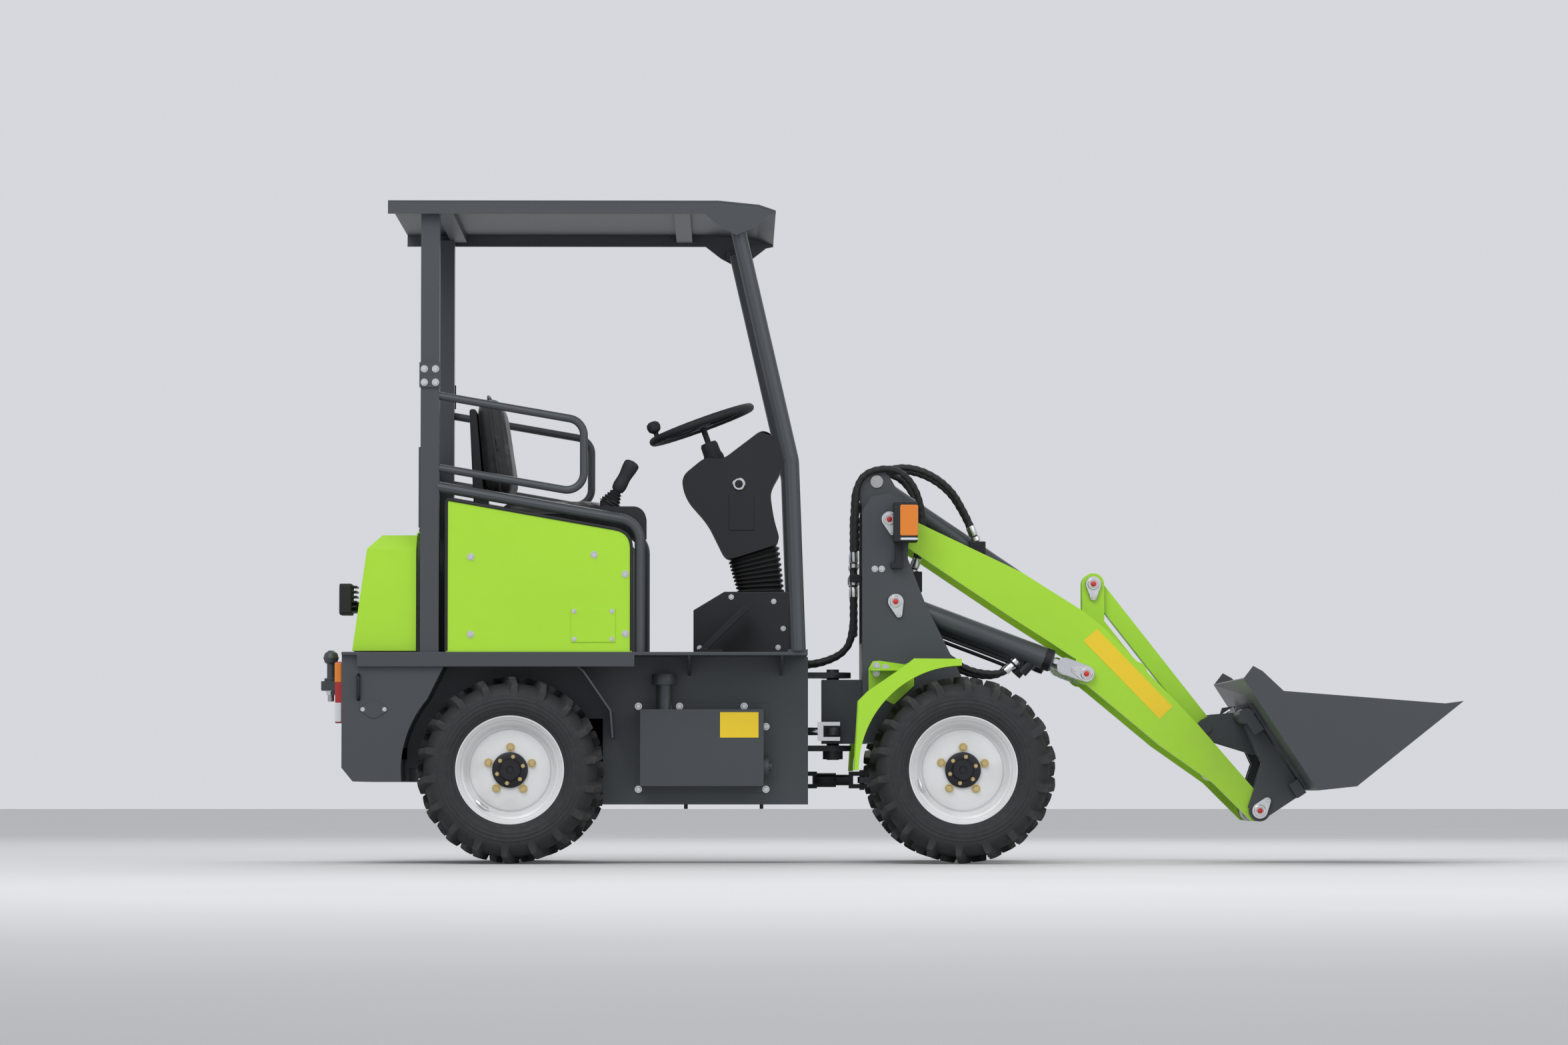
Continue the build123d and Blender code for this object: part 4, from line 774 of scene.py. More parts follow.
@dataclass
class Wheel:
    """One wheel: tyre with slanted lugs, stepped rim, hub flange and nuts."""

    end: str
    side: Side
    centre_x: float
    centre_z: float = 0.292
    centre_y: float = 0.424
    lug_face: float = 0.2912
    lug_half: float = 0.012
    lug_mean: float = 0.281
    lug_lean: float = 0.018
    lug_long: float = 0.112
    lug_past: float = 0.008
    lug_soft: float = 0.004
    lug_foot: float = 0.2365
    shoulder: float = 0.070
    lugs: int = 18
    steps_round: int = 480
    # Half of the tyre's section, from crown to bead: across, radius
    section: tuple = (
        (0.0, 0.2715), (0.034, 0.2715), (0.062, 0.2705), (0.088, 0.2560), (0.1020, 0.2380),
        (0.1035, 0.2200), (0.1040, 0.2050), (0.1000, 0.1890), (0.0900, 0.1760), (0.0840, 0.1670),
    )
    # The rim's closed profile, from the disc's outer face round both lips: radius, distance outwards
    rim_profile: tuple = (
        (0.020, 0.0395), (0.060, 0.0395), (0.116, 0.0395), (0.125, 0.036), (0.129, 0.030), (0.133, 0.030),
        (0.138, 0.036), (0.142, 0.052), (0.147, 0.060), (0.153, 0.063), (0.1555, 0.076), (0.161, 0.081),
        (0.1655, 0.0865), (0.1695, 0.0870), (0.1705, 0.082), (0.1655, 0.074), (0.160, 0.060),
        (0.151, 0.044), (0.147, -0.040), (0.158, -0.070), (0.1655, -0.0865), (0.158, -0.087),
        (0.141, -0.050), (0.135, 0.010), (0.122, 0.026), (0.100, 0.0305), (0.020, 0.0305),
    )
    hub_profile: tuple = (
        (0.055, 0.0390), (0.056, 0.047), (0.050, 0.050), (0.034, 0.050), (0.032, 0.063),
        (0.029, 0.066), (0.012, 0.066), (0.010, 0.0635),
    )

    @property
    def name(self) -> str:
        """The wheel's place in words."""
        return f"{self.end}_{self.side.name.lower()}"

    @property
    def body(self) -> str:
        """The body that the wheel's pieces ride on."""
        return f"wheel_{self.name}"

    @property
    def origin(self) -> Point:
        """The wheel's middle."""
        return self.centre_x, self.side.value * self.centre_y, self.centre_z

    @property
    def axis(self) -> Point:
        """The axle's direction, outwards."""
        return 0.0, float(self.side.value), 0.0

    def lug_mask(self, turn: np.ndarray, across: np.ndarray) -> np.ndarray:
        """Return 1 on a lug and 0 between, smooth at the edges.

        A lug's centre line leans from 18 mm behind to 18 mm ahead of its own turn as it runs from just
        past the middle to the shoulder; the two halves are half a pitch apart.

        Args:
            turn: Angle round the axle, from the top towards the front.
            across: Place across the tread, in metres.

        Returns:
            The lug share, in the arrays' common shape.
        """
        pitch = 2.0 * np.pi / self.lugs
        total = np.zeros(np.broadcast_shapes(turn.shape, across.shape))
        for hand, shift in ((-self.side.value, 0.0), (self.side.value, 0.5)):
            reach = (self.lug_past - hand * across) / self.lug_long
            phase = turn / pitch - shift
            place = (phase - np.round(phase)) * pitch * self.lug_mean
            off = np.abs(place + self.lug_lean - 2.0 * self.lug_lean * reach)
            bar = np.clip((self.lug_half + self.lug_soft / 2.0 - off) / self.lug_soft, 0.0, 1.0)
            total = np.maximum(total, bar * np.clip(reach / 0.03, 0.0, 1.0))
        return total * total * (3.0 - 2.0 * total)

    def tyre(self) -> Piece:
        """Build the tyre.

        The base is a smooth curve through the section's points from bead to bead; on a lug the radius
        rises to the lug face, which falls away past the shoulder and ends at the flank.

        Returns:
            The tyre, which replaces the plainer solid.
        """
        half = np.array(self.section)
        points = np.concatenate([half[:0:-1] * (-1.0, 1.0), half])
        curve = smooth_path(np.column_stack([points, np.zeros(len(points))]), 5)
        across, base = curve[None, :, 0], curve[None, :, 1]
        turn = np.linspace(0.0, 2.0 * np.pi, self.steps_round, endpoint=False)[:, None]
        mask = self.lug_mask(turn, across) * (base > self.lug_foot)
        face = self.lug_face - 0.72 * np.clip(np.abs(across) - self.shoulder, 0.0, None)
        radius = base + mask * np.clip(face - base, 0.0, None)
        grid = np.stack(np.broadcast_arrays(
            self.centre_x + radius * np.sin(turn), self.side.value * self.centre_y + across,
            self.centre_z + radius * np.cos(turn)), axis=-1)
        steps_across = grid.shape[1]
        faces = grid_faces(self.steps_round, steps_across, False, True)
        piece = mesh_piece(f"tyre_skin_{self.name}", grid, faces.tolist(), 40.0)
        for label, values in (("lug", mask), ("radius", np.broadcast_to(base, mask.shape))):
            layer = piece.data.attributes.new(label, "FLOAT", "POINT")
            layer.data.foreach_set("value", values.ravel().astype(np.float32))
        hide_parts(f"tyre_{self.name}")
        return finish_piece(piece, TYRE, self.body)

    def rim(self) -> Piece:
        """Build the rim: a turned profile from the dished disc's face, round the outer and inner lips."""
        name = f"rim_skin_{self.name}"
        piece = turned(name, self.rim_profile, self.origin, self.axis, 96, Ends.RING, 30.0)
        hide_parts(f"rim_{self.name}")
        return finish_piece(piece, RIM, self.body)

    def circle(self, radius: float, turn: np.ndarray, lift: np.ndarray | float) -> np.ndarray:
        """Return points at turns of a circle about the axle, lifted outwards from the middle."""
        x, y, z = self.origin
        places = (x + radius * np.cos(turn), y + self.side.value * lift, z + radius * np.sin(turn))
        return np.stack(np.broadcast_arrays(*places), axis=1)

    def hub(self) -> None:
        """Build the black hub flange with its cap, the nuts round it, and the valve's bracket."""
        lathe(f"hub_{self.name}", self.hub_profile, self.origin, self.axis, SATIN, self.body)
        for label, count, radius, head, lift in (
            ("nuts", 5, 0.071, head_shape(0.0105, 0.013, 0.014), 0.0395),
            ("studs", 6, 0.042, head_shape(0.0055, 0.007, 0.0065), 0.0495),
        ):
            turn = np.linspace(0.0, 2.0 * np.pi, count, endpoint=False) + 0.3
            axes = np.tile(self.axis, (count, 1))
            heads = stamped(f"{label}_{self.name}", head, self.circle(radius, turn, lift), axes)
            finish_piece(heads, BRASSY, self.body)
        arc = np.linspace(3.35, 3.65, 9) if self.end == "front" else np.linspace(3.9, 4.2, 9)
        path = self.circle(0.141, arc, 0.058 + 0.006 * np.cos(np.linspace(-1.5, 1.5, 9)))
        finish_piece(carried(f"valve_guard_{self.name}", path, 0.006, 8), ZINC, self.body)

    def build(self) -> None:
        """Build the whole wheel."""
        self.tyre()
        self.rim()
        self.hub()


@dataclass
class Fasteners:
    """Bolt heads on plates and panels, and the drop-shaped pin keepers of the linkage."""

    head: float = 0.0085
    rows: tuple = (
        # name, body, distance from the middle, one side only, head size, spots
        ("panel_bolts", "rear_frame", 0.500, False, 1.0, (
            (-1.298, 0.957), (-0.913, 0.964), (-0.816, 0.903), (-0.815, 0.717), (-1.298, 0.715))),
        ("cover_bolts", "rear_frame", 0.503, False, 0.65, (
            (-0.975, 0.787), (-0.857, 0.787), (-0.975, 0.700), (-0.857, 0.700))),
        ("plate_bolts", "rear_frame", 0.502, False, 1.0, (
            (-1.4445, 1.503), (-1.4095, 1.503), (-1.4445, 1.545), (-1.4095, 1.545))),
        ("tank_bolts", "rear_frame", 0.271, True, 1.0, (
            (-0.778, 0.494), (-0.648, 0.494), (-0.444, 0.494), (-0.375, 0.430), (-0.778, 0.232),
            (-0.375, 0.232))),
        ("box_bolts", "rear_frame", 0.200, False, 0.75, (
            (-0.485, 0.842), (-0.350, 0.828), (-0.320, 0.742), (-0.336, 0.682), (-0.585, 0.68))),
        ("fender_bolts", "front_frame", 0.245, False, 1.0, (
            (-0.025, 0.6226), (0.003, 0.617), (-0.025, 0.600))),
        ("lamp_bolts", "front_frame", 0.240, False, 0.9, ((-0.030, 0.930), (-0.008, 0.930))),
        ("tail_bolts", "rear_frame", 0.4925, False, 0.6, ((-1.634, 0.481), (-1.566, 0.481))),
    )
    pins: tuple = (
        # body, pin, distance from the middle, tail
        ("front_frame", (0.016, 1.087), 0.246, (0.010, -0.040)),
        ("front_frame", (0.036, 0.826), 0.246, (0.010, -0.040)),
        ("boom", (0.642, 0.598), 0.2152, (-0.038, 0.012)),
        ("rocker", (0.675, 0.889), 0.0565, (0.0, -0.042)),
        ("bucket_pins", (1.190, 0.164), 0.224, (0.024, 0.032)),
    )

    def bolts(self) -> None:
        """Stamp each row's bolt heads on one side or both."""
        for name, body, face, single, scale, spots in self.rows:
            for side in (Side.RIGHT,) if single else Side:
                places = np.array([(x, side.value * face, z) for x, z in spots])
                axes = np.tile([0.0, side.value, 0.0], (len(spots), 1))
                shape = head_shape(self.head * scale, 0.007 * scale, 0.0115 * scale)
                piece = stamped(f"{name}_{side.name.lower()}", shape, places, axes)
                finish_piece(piece, ZINC, body)

    def keepers(self) -> None:
        """Set a drop-shaped plate, a ring, a bolt and a red grease cap on each pin's end."""
        ring = [(0.019, 0.003), (0.019, 0.007), (0.017, 0.0085), (0.012, 0.0085), (0.011, 0.0065)]
        cap = [(0.0085, 0.005), (0.0085, 0.010), (0.006, 0.013), (0.003, 0.014)]
        head, thick = head_shape(0.006, 0.005, 0.008), 0.005
        for body, (x, z), face, tail in self.pins:
            for side in Side:
                tag = f"{body}_{int(x * 1000)}_{side.name.lower()}"
                spot, axis = np.array([x, side.value * face, z]), np.array([0.0, side.value, 0.0])
                arm = np.array([tail[0], 0.0, tail[1]])
                local = arm @ basis(axis)
                plate = hull_shape([(0.0, 0.0, 0.025), (local[0], local[1], 0.011)], thick)
                finish_piece(stamped(f"keeper_{tag}", plate, spot[None], axis[None]), ZINC, body)
                lathe(f"keeper_ring_{tag}", ring, spot, axis, ZINC, body, 32)
                lathe(f"grease_cap_{tag}", cap, spot, axis, RED_CAP, body, 20)
                bolt = spot + arm + axis * thick
                finish_piece(stamped(f"keeper_bolt_{tag}", head, bolt[None], axis[None]), ZINC, body)

    def build(self) -> None:
        """Build all fasteners."""
        self.bolts()
        self.keepers()


@dataclass
class Controls:
    """Steering bellows, rim grip and knob, the joystick, the console's switch and panel."""

    foot: tuple = (-0.389, 0.0, 0.8595)
    top: tuple = (-0.413, 0.0, 0.9885)
    folds: int = 9
    wheel: tuple = (-0.580, 0.0, 1.403)
    tilt: float = 20.0
    rim: float = 0.165
    spoke: float = 0.158
    half: float = 0.105
    edge: float = 0.016
    outline: tuple = (
        (-0.500, 0.962), (-0.325, 1.018), (-0.348, 1.090), (-0.362, 1.185), (-0.318, 1.262), (-0.342, 1.345),
        (-0.378, 1.388), (-0.520, 1.280), (-0.560, 1.300), (-0.648, 1.228), (-0.630, 1.164), (-0.560, 1.084),
    )

    def bellows(self) -> None:
        """Build the bellows: a rounded rectangle carried up a line, its size rippled by the folds.

        The half sizes are the straight blend of foot and top, times 0.95 - 0.055 cos(2 pi n t).
        """
        t = np.linspace(0.0, 1.0, self.folds * 10 + 1)[:, None]
        turn = np.linspace(0.0, 2.0 * np.pi, 64, endpoint=False)[None, :]
        ripple = 0.95 - 0.055 * np.cos(2.0 * np.pi * self.folds * t)
        square = (np.abs(np.cos(turn)) ** 5 + np.abs(np.sin(turn)) ** 5) ** -0.2
        half_x = (0.075 + 0.010 * t) * ripple * square
        half_y = (0.085 + 0.010 * t) * ripple * square
        lean = 0.31 * t
        x = self.foot[0] + (self.top[0] - self.foot[0]) * t + half_x * np.cos(turn) * np.cos(lean)
        z = self.foot[2] + (self.top[2] - self.foot[2]) * t + half_x * np.cos(turn) * np.sin(lean)
        grid = np.stack(np.broadcast_arrays(x, half_y * np.sin(turn), z), axis=-1)
        piece = skin("bellows_skin", grid, Ends.CAPPED, 60.0)
        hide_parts("console_bellows")
        finish_piece(piece, RUBBER, "rear_frame")

    @property
    def up(self) -> np.ndarray:
        """The steering column's direction."""
        turn = math.radians(self.tilt)
        return np.array([-math.sin(turn), 0.0, math.cos(turn)])

    def steering(self) -> None:
        """Build the wheel: a round rim with finger waves, three bowed spokes, a domed hub and a knob.

        The rim's tube radius is 13 mm less a ripple of 0.7 mm round the inner side.
        """
        up = self.up
        ahead, left = np.array([up[2], 0.0, -up[0]]), np.array([0.0, 1.0, 0.0])
        round_ = np.linspace(0.0, 2.0 * np.pi, 144, endpoint=False)[:, None]
        across = np.linspace(0.0, 2.0 * np.pi, 20, endpoint=False)[None, :]
        tube = 0.0130 - 0.0007 * (0.5 + 0.5 * np.cos(36.0 * round_)) * (np.cos(across) < 0.2)
        out, lift = self.rim + tube * np.cos(across), tube * np.sin(across)
        grid = (np.asarray(self.wheel) + lift[..., None] * up + (out * np.cos(round_))[..., None] * ahead
                + (out * np.sin(round_))[..., None] * left)
        body = "steering_wheel"
        rim = skin("steering_rim", grid, Ends.RING, 60.0)
        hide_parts("steering_wheel")
        finish_piece(rim, BLACK, body)
        dome = [(0.038, -0.012), (0.038, 0.006), (0.034, 0.011), (0.018, 0.014), (0.004, 0.0145)]
        lathe("steering_hub", dome, self.wheel, up, BLACK, body)
        for number, degrees in enumerate((90.0, 210.0, 330.0)):
            angle = math.radians(degrees)
            t = np.linspace(0.030, self.spoke, 12)[:, None]
            path = (np.asarray(self.wheel) + t * (math.cos(angle) * ahead + math.sin(angle) * left)
                    - (0.006 * np.sin(t / self.spoke * np.pi)) * up)
            spoke = carried(f"steering_spoke_{number}", path, 0.0085, 12)
            finish_piece(spoke, SATIN, body)
        spot = np.asarray(self.wheel) + self.rim * (-0.90 * ahead - 0.436 * left) + 0.010 * up
        knob = [(0.008, 0.0), (0.008, 0.010), (0.019, 0.018), (0.0225, 0.030), (0.020, 0.042),
                (0.012, 0.048), (0.003, 0.0495)]
        lathe("spinner_knob", knob, spot, up, BLACK, body, 32)

    def joystick(self) -> None:
        """Build the joystick's ribbed boot and its waisted grip along the lever's line."""
        foot, head = np.array([-0.868, -0.370, 1.128]), np.array([-0.796, -0.370, 1.258])
        axis = (head - foot) / np.linalg.norm(head - foot)
        rib = np.linspace(0.0, 1.0, 31)
        boot = np.stack([0.034 - 0.020 * rib + 0.0025 * np.cos(10.0 * np.pi * rib), 0.050 * rib], axis=1)
        lathe("joystick_boot", boot, foot, axis, RUBBER, "rear_frame", 32, smooth=60.0)
        t = np.linspace(0.0, 1.0, 25)
        waist = 0.0185 + 0.003 * np.sin(2.6 * np.pi * t) * (1 - t) + 0.0065 * t
        grip = np.concatenate([[(0.009, 0.048)], np.stack([waist, 0.050 + 0.092 * t], axis=1),
                               [(0.023, 0.148), (0.015, 0.153), (0.003, 0.155)]])
        lathe("joystick_grip", grip, foot, axis, BLACK, "rear_frame", 36, smooth=60.0)

    def console(self) -> None:
        """Build the console's moulded shell, the column, the key switch and a lid.

        The shell is the side view's outline, its corners rounded, carried across the machine, with a
        round bevel along both rims.
        """
        corners = np.array(self.outline)
        loop = np.concatenate([corners[-1:], corners, corners[:1]])
        flat = np.column_stack([loop[:, 0], np.zeros(len(loop)), loop[:, 1]])
        path = evenly(route(list(flat), 0.034, 10)[1:-1], 0.005)
        rows = [path + np.array([0.0, y, 0.0]) for y in (-self.half, self.half)]
        shell = skin("console_shell", np.stack(rows), Ends.CAPPED, 50.0)
        bevel(shell, self.edge, 5, 50.0, harden=False)
        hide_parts("steering_console")
        finish_piece(shell, BLACK, "rear_frame")
        column = [(0.034, -0.165), (0.033, -0.110), (0.029, -0.100), (0.028, -0.070), (0.024, -0.062),
                  (0.0095, -0.060), (0.0095, -0.008)]
        lathe("steering_column", column, self.wheel, self.up, BLACK, "rear_frame", 32)
        ring = [(0.020, -0.001), (0.0205, 0.004), (0.018, 0.006), (0.013, 0.006), (0.012, 0.003)]
        plug = [(0.012, 0.0), (0.012, 0.005), (0.004, 0.0055)]
        for label, profile, finish in (("key_ring", ring, CHROME), ("key_plug", plug, SATIN)):
            lathe(label, profile, (-0.4607, -self.half, 1.2065), (0.0, -1.0, 0.0), finish, "rear_frame", 32)
        low, high = (-0.492, -self.half - 0.0025, 1.058), (-0.412, -self.half + 0.004, 1.172)
        finish_piece(block("console_lid", low, high, 0.002), BLACK, "rear_frame")

    def build(self) -> None:
        """Build the controls."""
        self.bellows()
        self.steering()
        self.joystick()
        self.console()


@dataclass
class Seat:
    """The seat's two pads, swollen as cloth from slightly smaller forms, with piping round them."""

    width: float = 0.432
    cushion: tuple = (-1.044, 0.0, 1.1055)
    cushion_long: float = 0.366
    back: tuple = (-1.238, 0.0, 1.3235)
    back_long: float = 0.315
    power: float = 0.30
    frames: int = 20
    voxel: float = 0.006
    pressure: float = 4.0
    cap: float = 0.009
    swollen: float = 0.004

    def cushion_form(self) -> np.ndarray:
        """Return the cushion's start: a rounded block whose sides rise a little above its middle."""
        points = self.block_form((self.cushion_long, self.width, 0.066), self.cushion)
        rise = np.clip(np.abs(points[..., 1]) / (self.width / 2), 0.0, 1.0) ** 3
        points[..., 2] += 0.008 * (rise - 0.4) * (points[..., 2] > 1.11)
        return points

    def back_form(self) -> np.ndarray:
        """Return the back's start: a rounded block that leans back, with its sides brought forward."""
        points = self.block_form((0.070, self.width, self.back_long), (0.0, 0.0, self.back[2]))
        level = (points[..., 2] - self.back[2]) / 0.1685
        rise = np.clip(np.abs(points[..., 1]) / (self.width / 2), 0.0, 1.0) ** 3
        points[..., 0] = points[..., 0] * (1.0 - 0.12 * level) + 0.010 * rise * (points[..., 0] > 0.0)
        points[..., 0] += self.back[0] - 0.022 * level
        return points

    def bent(self, *parts: np.ndarray) -> list[np.ndarray]:
        """Raise values to the pads' power, with their signs kept."""
        return [np.sign(p) * np.abs(p) ** self.power for p in parts]

    def block_form(self, size: tuple, centre: tuple) -> np.ndarray:
        """Return a superellipsoid's grid: half size times powered sines and cosines, about a centre."""
        a = np.linspace(-np.pi / 2, np.pi / 2, 50)[1:-1, None]
        b = np.linspace(0.0, 2.0 * np.pi, 96, endpoint=False)[None, :]
        parts = np.broadcast_arrays(np.cos(a) * np.ones_like(b), np.cos(b), np.sin(b), np.sin(a))
        c, u, v, w = self.bent(*parts)
        return np.stack([c * u, c * v, w], axis=-1) * (np.asarray(size) / 2.0) + np.asarray(centre)

    def swell(self, name: str, form: np.ndarray) -> Piece:
        """Remesh a form evenly, swell it as cloth under pressure, and hold each point within the cap.

        Args:
            name: The pad's name.
            form: The start's grid.

        Returns:
            The pad, with its swollen mesh and one level of subdivision.
        """
        piece = skin(name, form, Ends.CAPPED, 180.0)
        even = piece.modifiers.new("even", "REMESH")
        even.mode = "VOXEL"
        even.voxel_size = self.voxel
        even.use_smooth_shade = True
        self.settle(piece)
        start = mesh_points(piece.data)
        cloth = piece.modifiers.new("cloth", "CLOTH")
        cloth.settings.use_pressure = True
        cloth.settings.uniform_pressure_force = self.pressure
        cloth.settings.effector_weights.gravity = 0.0
        cloth.point_cache.frame_start, cloth.point_cache.frame_end = 1, self.frames
        scene = bpy.context.scene
        for number in range(1, self.frames + 1):
            scene.frame_set(number)
        self.settle(piece)
        scene.frame_set(1)
        move = mesh_points(piece.data) - start
        far = np.linalg.norm(move, axis=1, keepdims=True)
        move *= np.minimum(1.0, self.cap / np.maximum(far, 1e-9))
        piece.data.vertices.foreach_set("co", (start + move).ravel().astype(np.float32))
        piece.data.update()
        smooth = piece.modifiers.new("smooth", "SUBSURF")
        smooth.levels = smooth.render_levels = 1
        return piece

    @staticmethod
    def settle(piece: Piece) -> None:
        """Apply a piece's modifiers to its mesh."""
        view = bpy.context.evaluated_depsgraph_get()
        view.update()
        mesh = bpy.data.meshes.new_from_object(piece.evaluated_get(view))
        old = piece.data
        piece.modifiers.clear()
        piece.data = mesh
        bpy.data.meshes.remove(old)

    def piping(self, name: str, half: tuple[float, float], lean: tuple, centre: tuple) -> None:
        """Carry a cord of piping round a pad's widest line.

        The line at turn t is the centre plus half lengths times the signed 0.3 powers of cos t along the
        lean and of sin t across the machine: the pad's own outline, grown by its swelling.

        Args:
            name: The piece's name.
            half: Half lengths of the pad along the lean and across the machine.
            lean: Step in X and Z for each metre along the pad.
            centre: Middle of the line.
        """
        turn = np.linspace(0.0, 2.0 * np.pi, 4001)[:, None]
        u, v = self.bent(np.cos(turn), np.sin(turn))
        path = (np.asarray(centre) + (half[0] + self.swollen) * u * np.asarray(lean)
                + (half[1] + self.swollen) * v * np.array([0.0, 1.0, 0.0]))
        finish_piece(carried(name, evenly(path, 0.008), 0.0045, 10), VINYL, "rear_frame")

    def build(self) -> None:
        """Build both pads with their piping."""
        for name, form in (("seat_cushion", self.cushion_form()), ("seat_back", self.back_form())):
            pad = self.swell(f"{name}_pad", form)
            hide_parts(name)
            finish_piece(pad, VINYL, "rear_frame")
        half = self.width / 2
        self.piping("cushion_piping", (self.cushion_long / 2, half), (1.0, 0.0, 0.0), self.cushion)
        self.piping("back_piping", (self.back_long / 2, half), (-0.1306, 0.0, 1.0), self.back)


@dataclass
class Hoses:
    """The hydraulic hoses: up the tower, over the hinge, over the tower's top and to the lift cylinders."""

    radius: float = 0.011
    guard: float = 0.024
    step: float = 0.004
    tower_x: float = -0.092

    def hose(self, name: str, points: list[tuple]) -> tuple[Piece, np.ndarray]:
        """Carry a guarded hose along a route's spline.

        The radius ripples by 0.7 mm along the hose's length, one wave to each turn of the guard.

        Args:
            name: The hose's name.
            points: The route's points.

        Returns:
            The hose and its middle line.
        """
        line = evenly(hose_line(np.asarray(points, float)), self.step)
        length = np.arange(len(line)) * self.step
        ripple = self.radius - 0.0004 + 0.0007 * np.cos(2.0 * np.pi * length / self.guard)
        piece = carried(name, line, ripple, 14)
        piece.data.materials.append(HOSE.material())
        LOG.info("hose %s", name)
        return piece, line

    def fitting(self, name: str, place: np.ndarray, way: np.ndarray, body: str) -> None:
        """Set a crimped sleeve and a nut on a hose's end, turned with twelve sides."""
        sleeve = [(0.0125, -0.004), (0.0128, 0.0), (0.0128, 0.026), (0.0115, 0.028), (0.0095, 0.029),
                  (0.0095, 0.033), (0.0150, 0.0335), (0.0150, 0.046), (0.0135, 0.048), (0.006, 0.048)]
        lathe(name, sleeve, place, way, ZINC, body, 12)

    def tower(self) -> None:
        """Build the four hoses up the back of the tower and the bar that clamps them."""
        for number, y in enumerate((-0.095, -0.062, 0.062, 0.095)):
            x = self.tower_x
            piece, _ = self.hose(f"tower_hose_{number}", [
                (x, y, 0.722), (x, y, 1.047), (x, y, 1.150), (0.010, y, 1.165)])
            if number == 0:
                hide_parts("tower_hoses")
            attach(piece, "front_frame")
            up = np.array([0.0, 0.0, 1.0])
            self.fitting(f"tower_fitting_{number}", np.array([x, y, 0.850]), up, "front_frame")
            self.fitting(f"tower_union_{number}", np.array([x, y, 0.985]), -up, "front_frame")
        bar = block("hose_clamp", (-0.108, -0.147, 0.892), (-0.069, 0.147, 0.916), 0.003)
        finish_piece(bar, SATIN, "front_frame")

    def hinge(self) -> None:
        """Build the hoses that bend over the steering hinge, from the rear frame to the tower."""
        pairs = ((-0.118, -0.095), (-0.086, -0.062), (0.086, 0.062), (0.118, 0.095))
        for number, (back, front) in enumerate(pairs):
            piece, _ = self.hose(f"hinge_hose_{number}", [
                (-0.309, back, 0.628), (-0.245, back, 0.630), (-0.185, back, 0.640), (-0.125, front, 0.668),
                (-0.097, front, 0.715), (self.tower_x, front, 0.775)])
            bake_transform(piece)

    def arches(self) -> None:
        """Build the hoses over the tower's top: a short pair, and a long pair to the tilt cylinder."""
        for side in Side:
            tag, s = side.name.lower(), side.value
            short, line = self.hose(f"short_arch_{tag}", [
                (-0.088, s * 0.160, 0.990), (-0.090, s * 0.160, 1.120), (-0.080, s * 0.160, 1.235),
                (0.030, s * 0.160, 1.262), (0.100, s * 0.146, 1.205), (0.130, s * 0.114, 1.100),
                (0.122, s * 0.110, 1.000), (0.098, s * 0.110, 0.930)])
            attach(short, "front_frame")
            self.fitting(f"arch_fitting_{tag}", line[-10], line[-1] - line[-10], "front_frame")
            low, high = sorted((s * 0.084, s * 0.135))
            port = block(f"tower_port_{tag}", (0.060, low, 0.860), (0.124, high, 0.926), 0.003)
            finish_piece(port, SATIN, "front_frame")
            tall, line = self.hose(f"long_arch_{tag}", [
                (-0.050, s * 0.112, 1.100), (-0.045, s * 0.112, 1.190), (0.020, s * 0.110, 1.262),
                (0.120, s * 0.098, 1.258), (0.215, s * 0.075, 1.200), (0.268, s * 0.040, 1.110),
                (0.293, s * 0.040, 1.050), (0.300, s * 0.040, 1.030)])
            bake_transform(tall)
            self.fitting(f"tilt_fitting_{tag}", line[-12], line[-1] - line[-12], "tilt_barrel")
        port = block("tilt_port", (0.278, -0.058, 0.985), (0.330, 0.058, 1.026), 0.003)
        finish_piece(port, SATIN, "tilt_barrel")

    def lift(self) -> None:
        """Build the hose, port block and pipe under each lift cylinder."""
        way = np.array(LIFT_WAY)
        under = np.array([way[2], 0.0, -way[0]])
        for side in Side:
            tag, y = side.name.lower(), side.value * LIFT_FOOT[1]
            base = np.array([LIFT_FOOT[0], y, LIFT_FOOT[2]])
            hose, line = self.hose(f"lift_hose_{tag}", [
                (0.068, side.value * 0.152, 0.755), (0.125, side.value * 0.154, 0.720),
                (0.190, side.value * 0.165, 0.665), (0.260, side.value * 0.180, 0.612), (0.340, y, 0.596),
                (0.395, y, 0.606), (0.415, y, 0.634)])
            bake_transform(hose)
            self.fitting(f"lift_fitting_{tag}", line[-10], line[-1] - line[-10], "lift_barrels")
            ends = [base + 0.455 * way + 0.068 * under, base + 0.470 * way + 0.030 * under]
            port = carried(f"lift_port_{tag}", np.linspace(*ends, 6), 0.017, 12)
            finish_piece(port, SATIN, "lift_barrels")
            steps = ((0.095, 0.030), (0.110, 0.046), (0.150, 0.050), (0.360, 0.050), (0.440, 0.052),
                     (0.458, 0.060))
            pipe = np.array([base + along * way + down * under for along, down in steps])
            finish_piece(carried(f"lift_pipe_{tag}", hose_line(pipe), 0.006, 10), SATIN, "lift_barrels")

    def build(self) -> None:
        """Build all hoses."""
        self.tower()
        self.hinge()
        self.arches()
        self.lift()


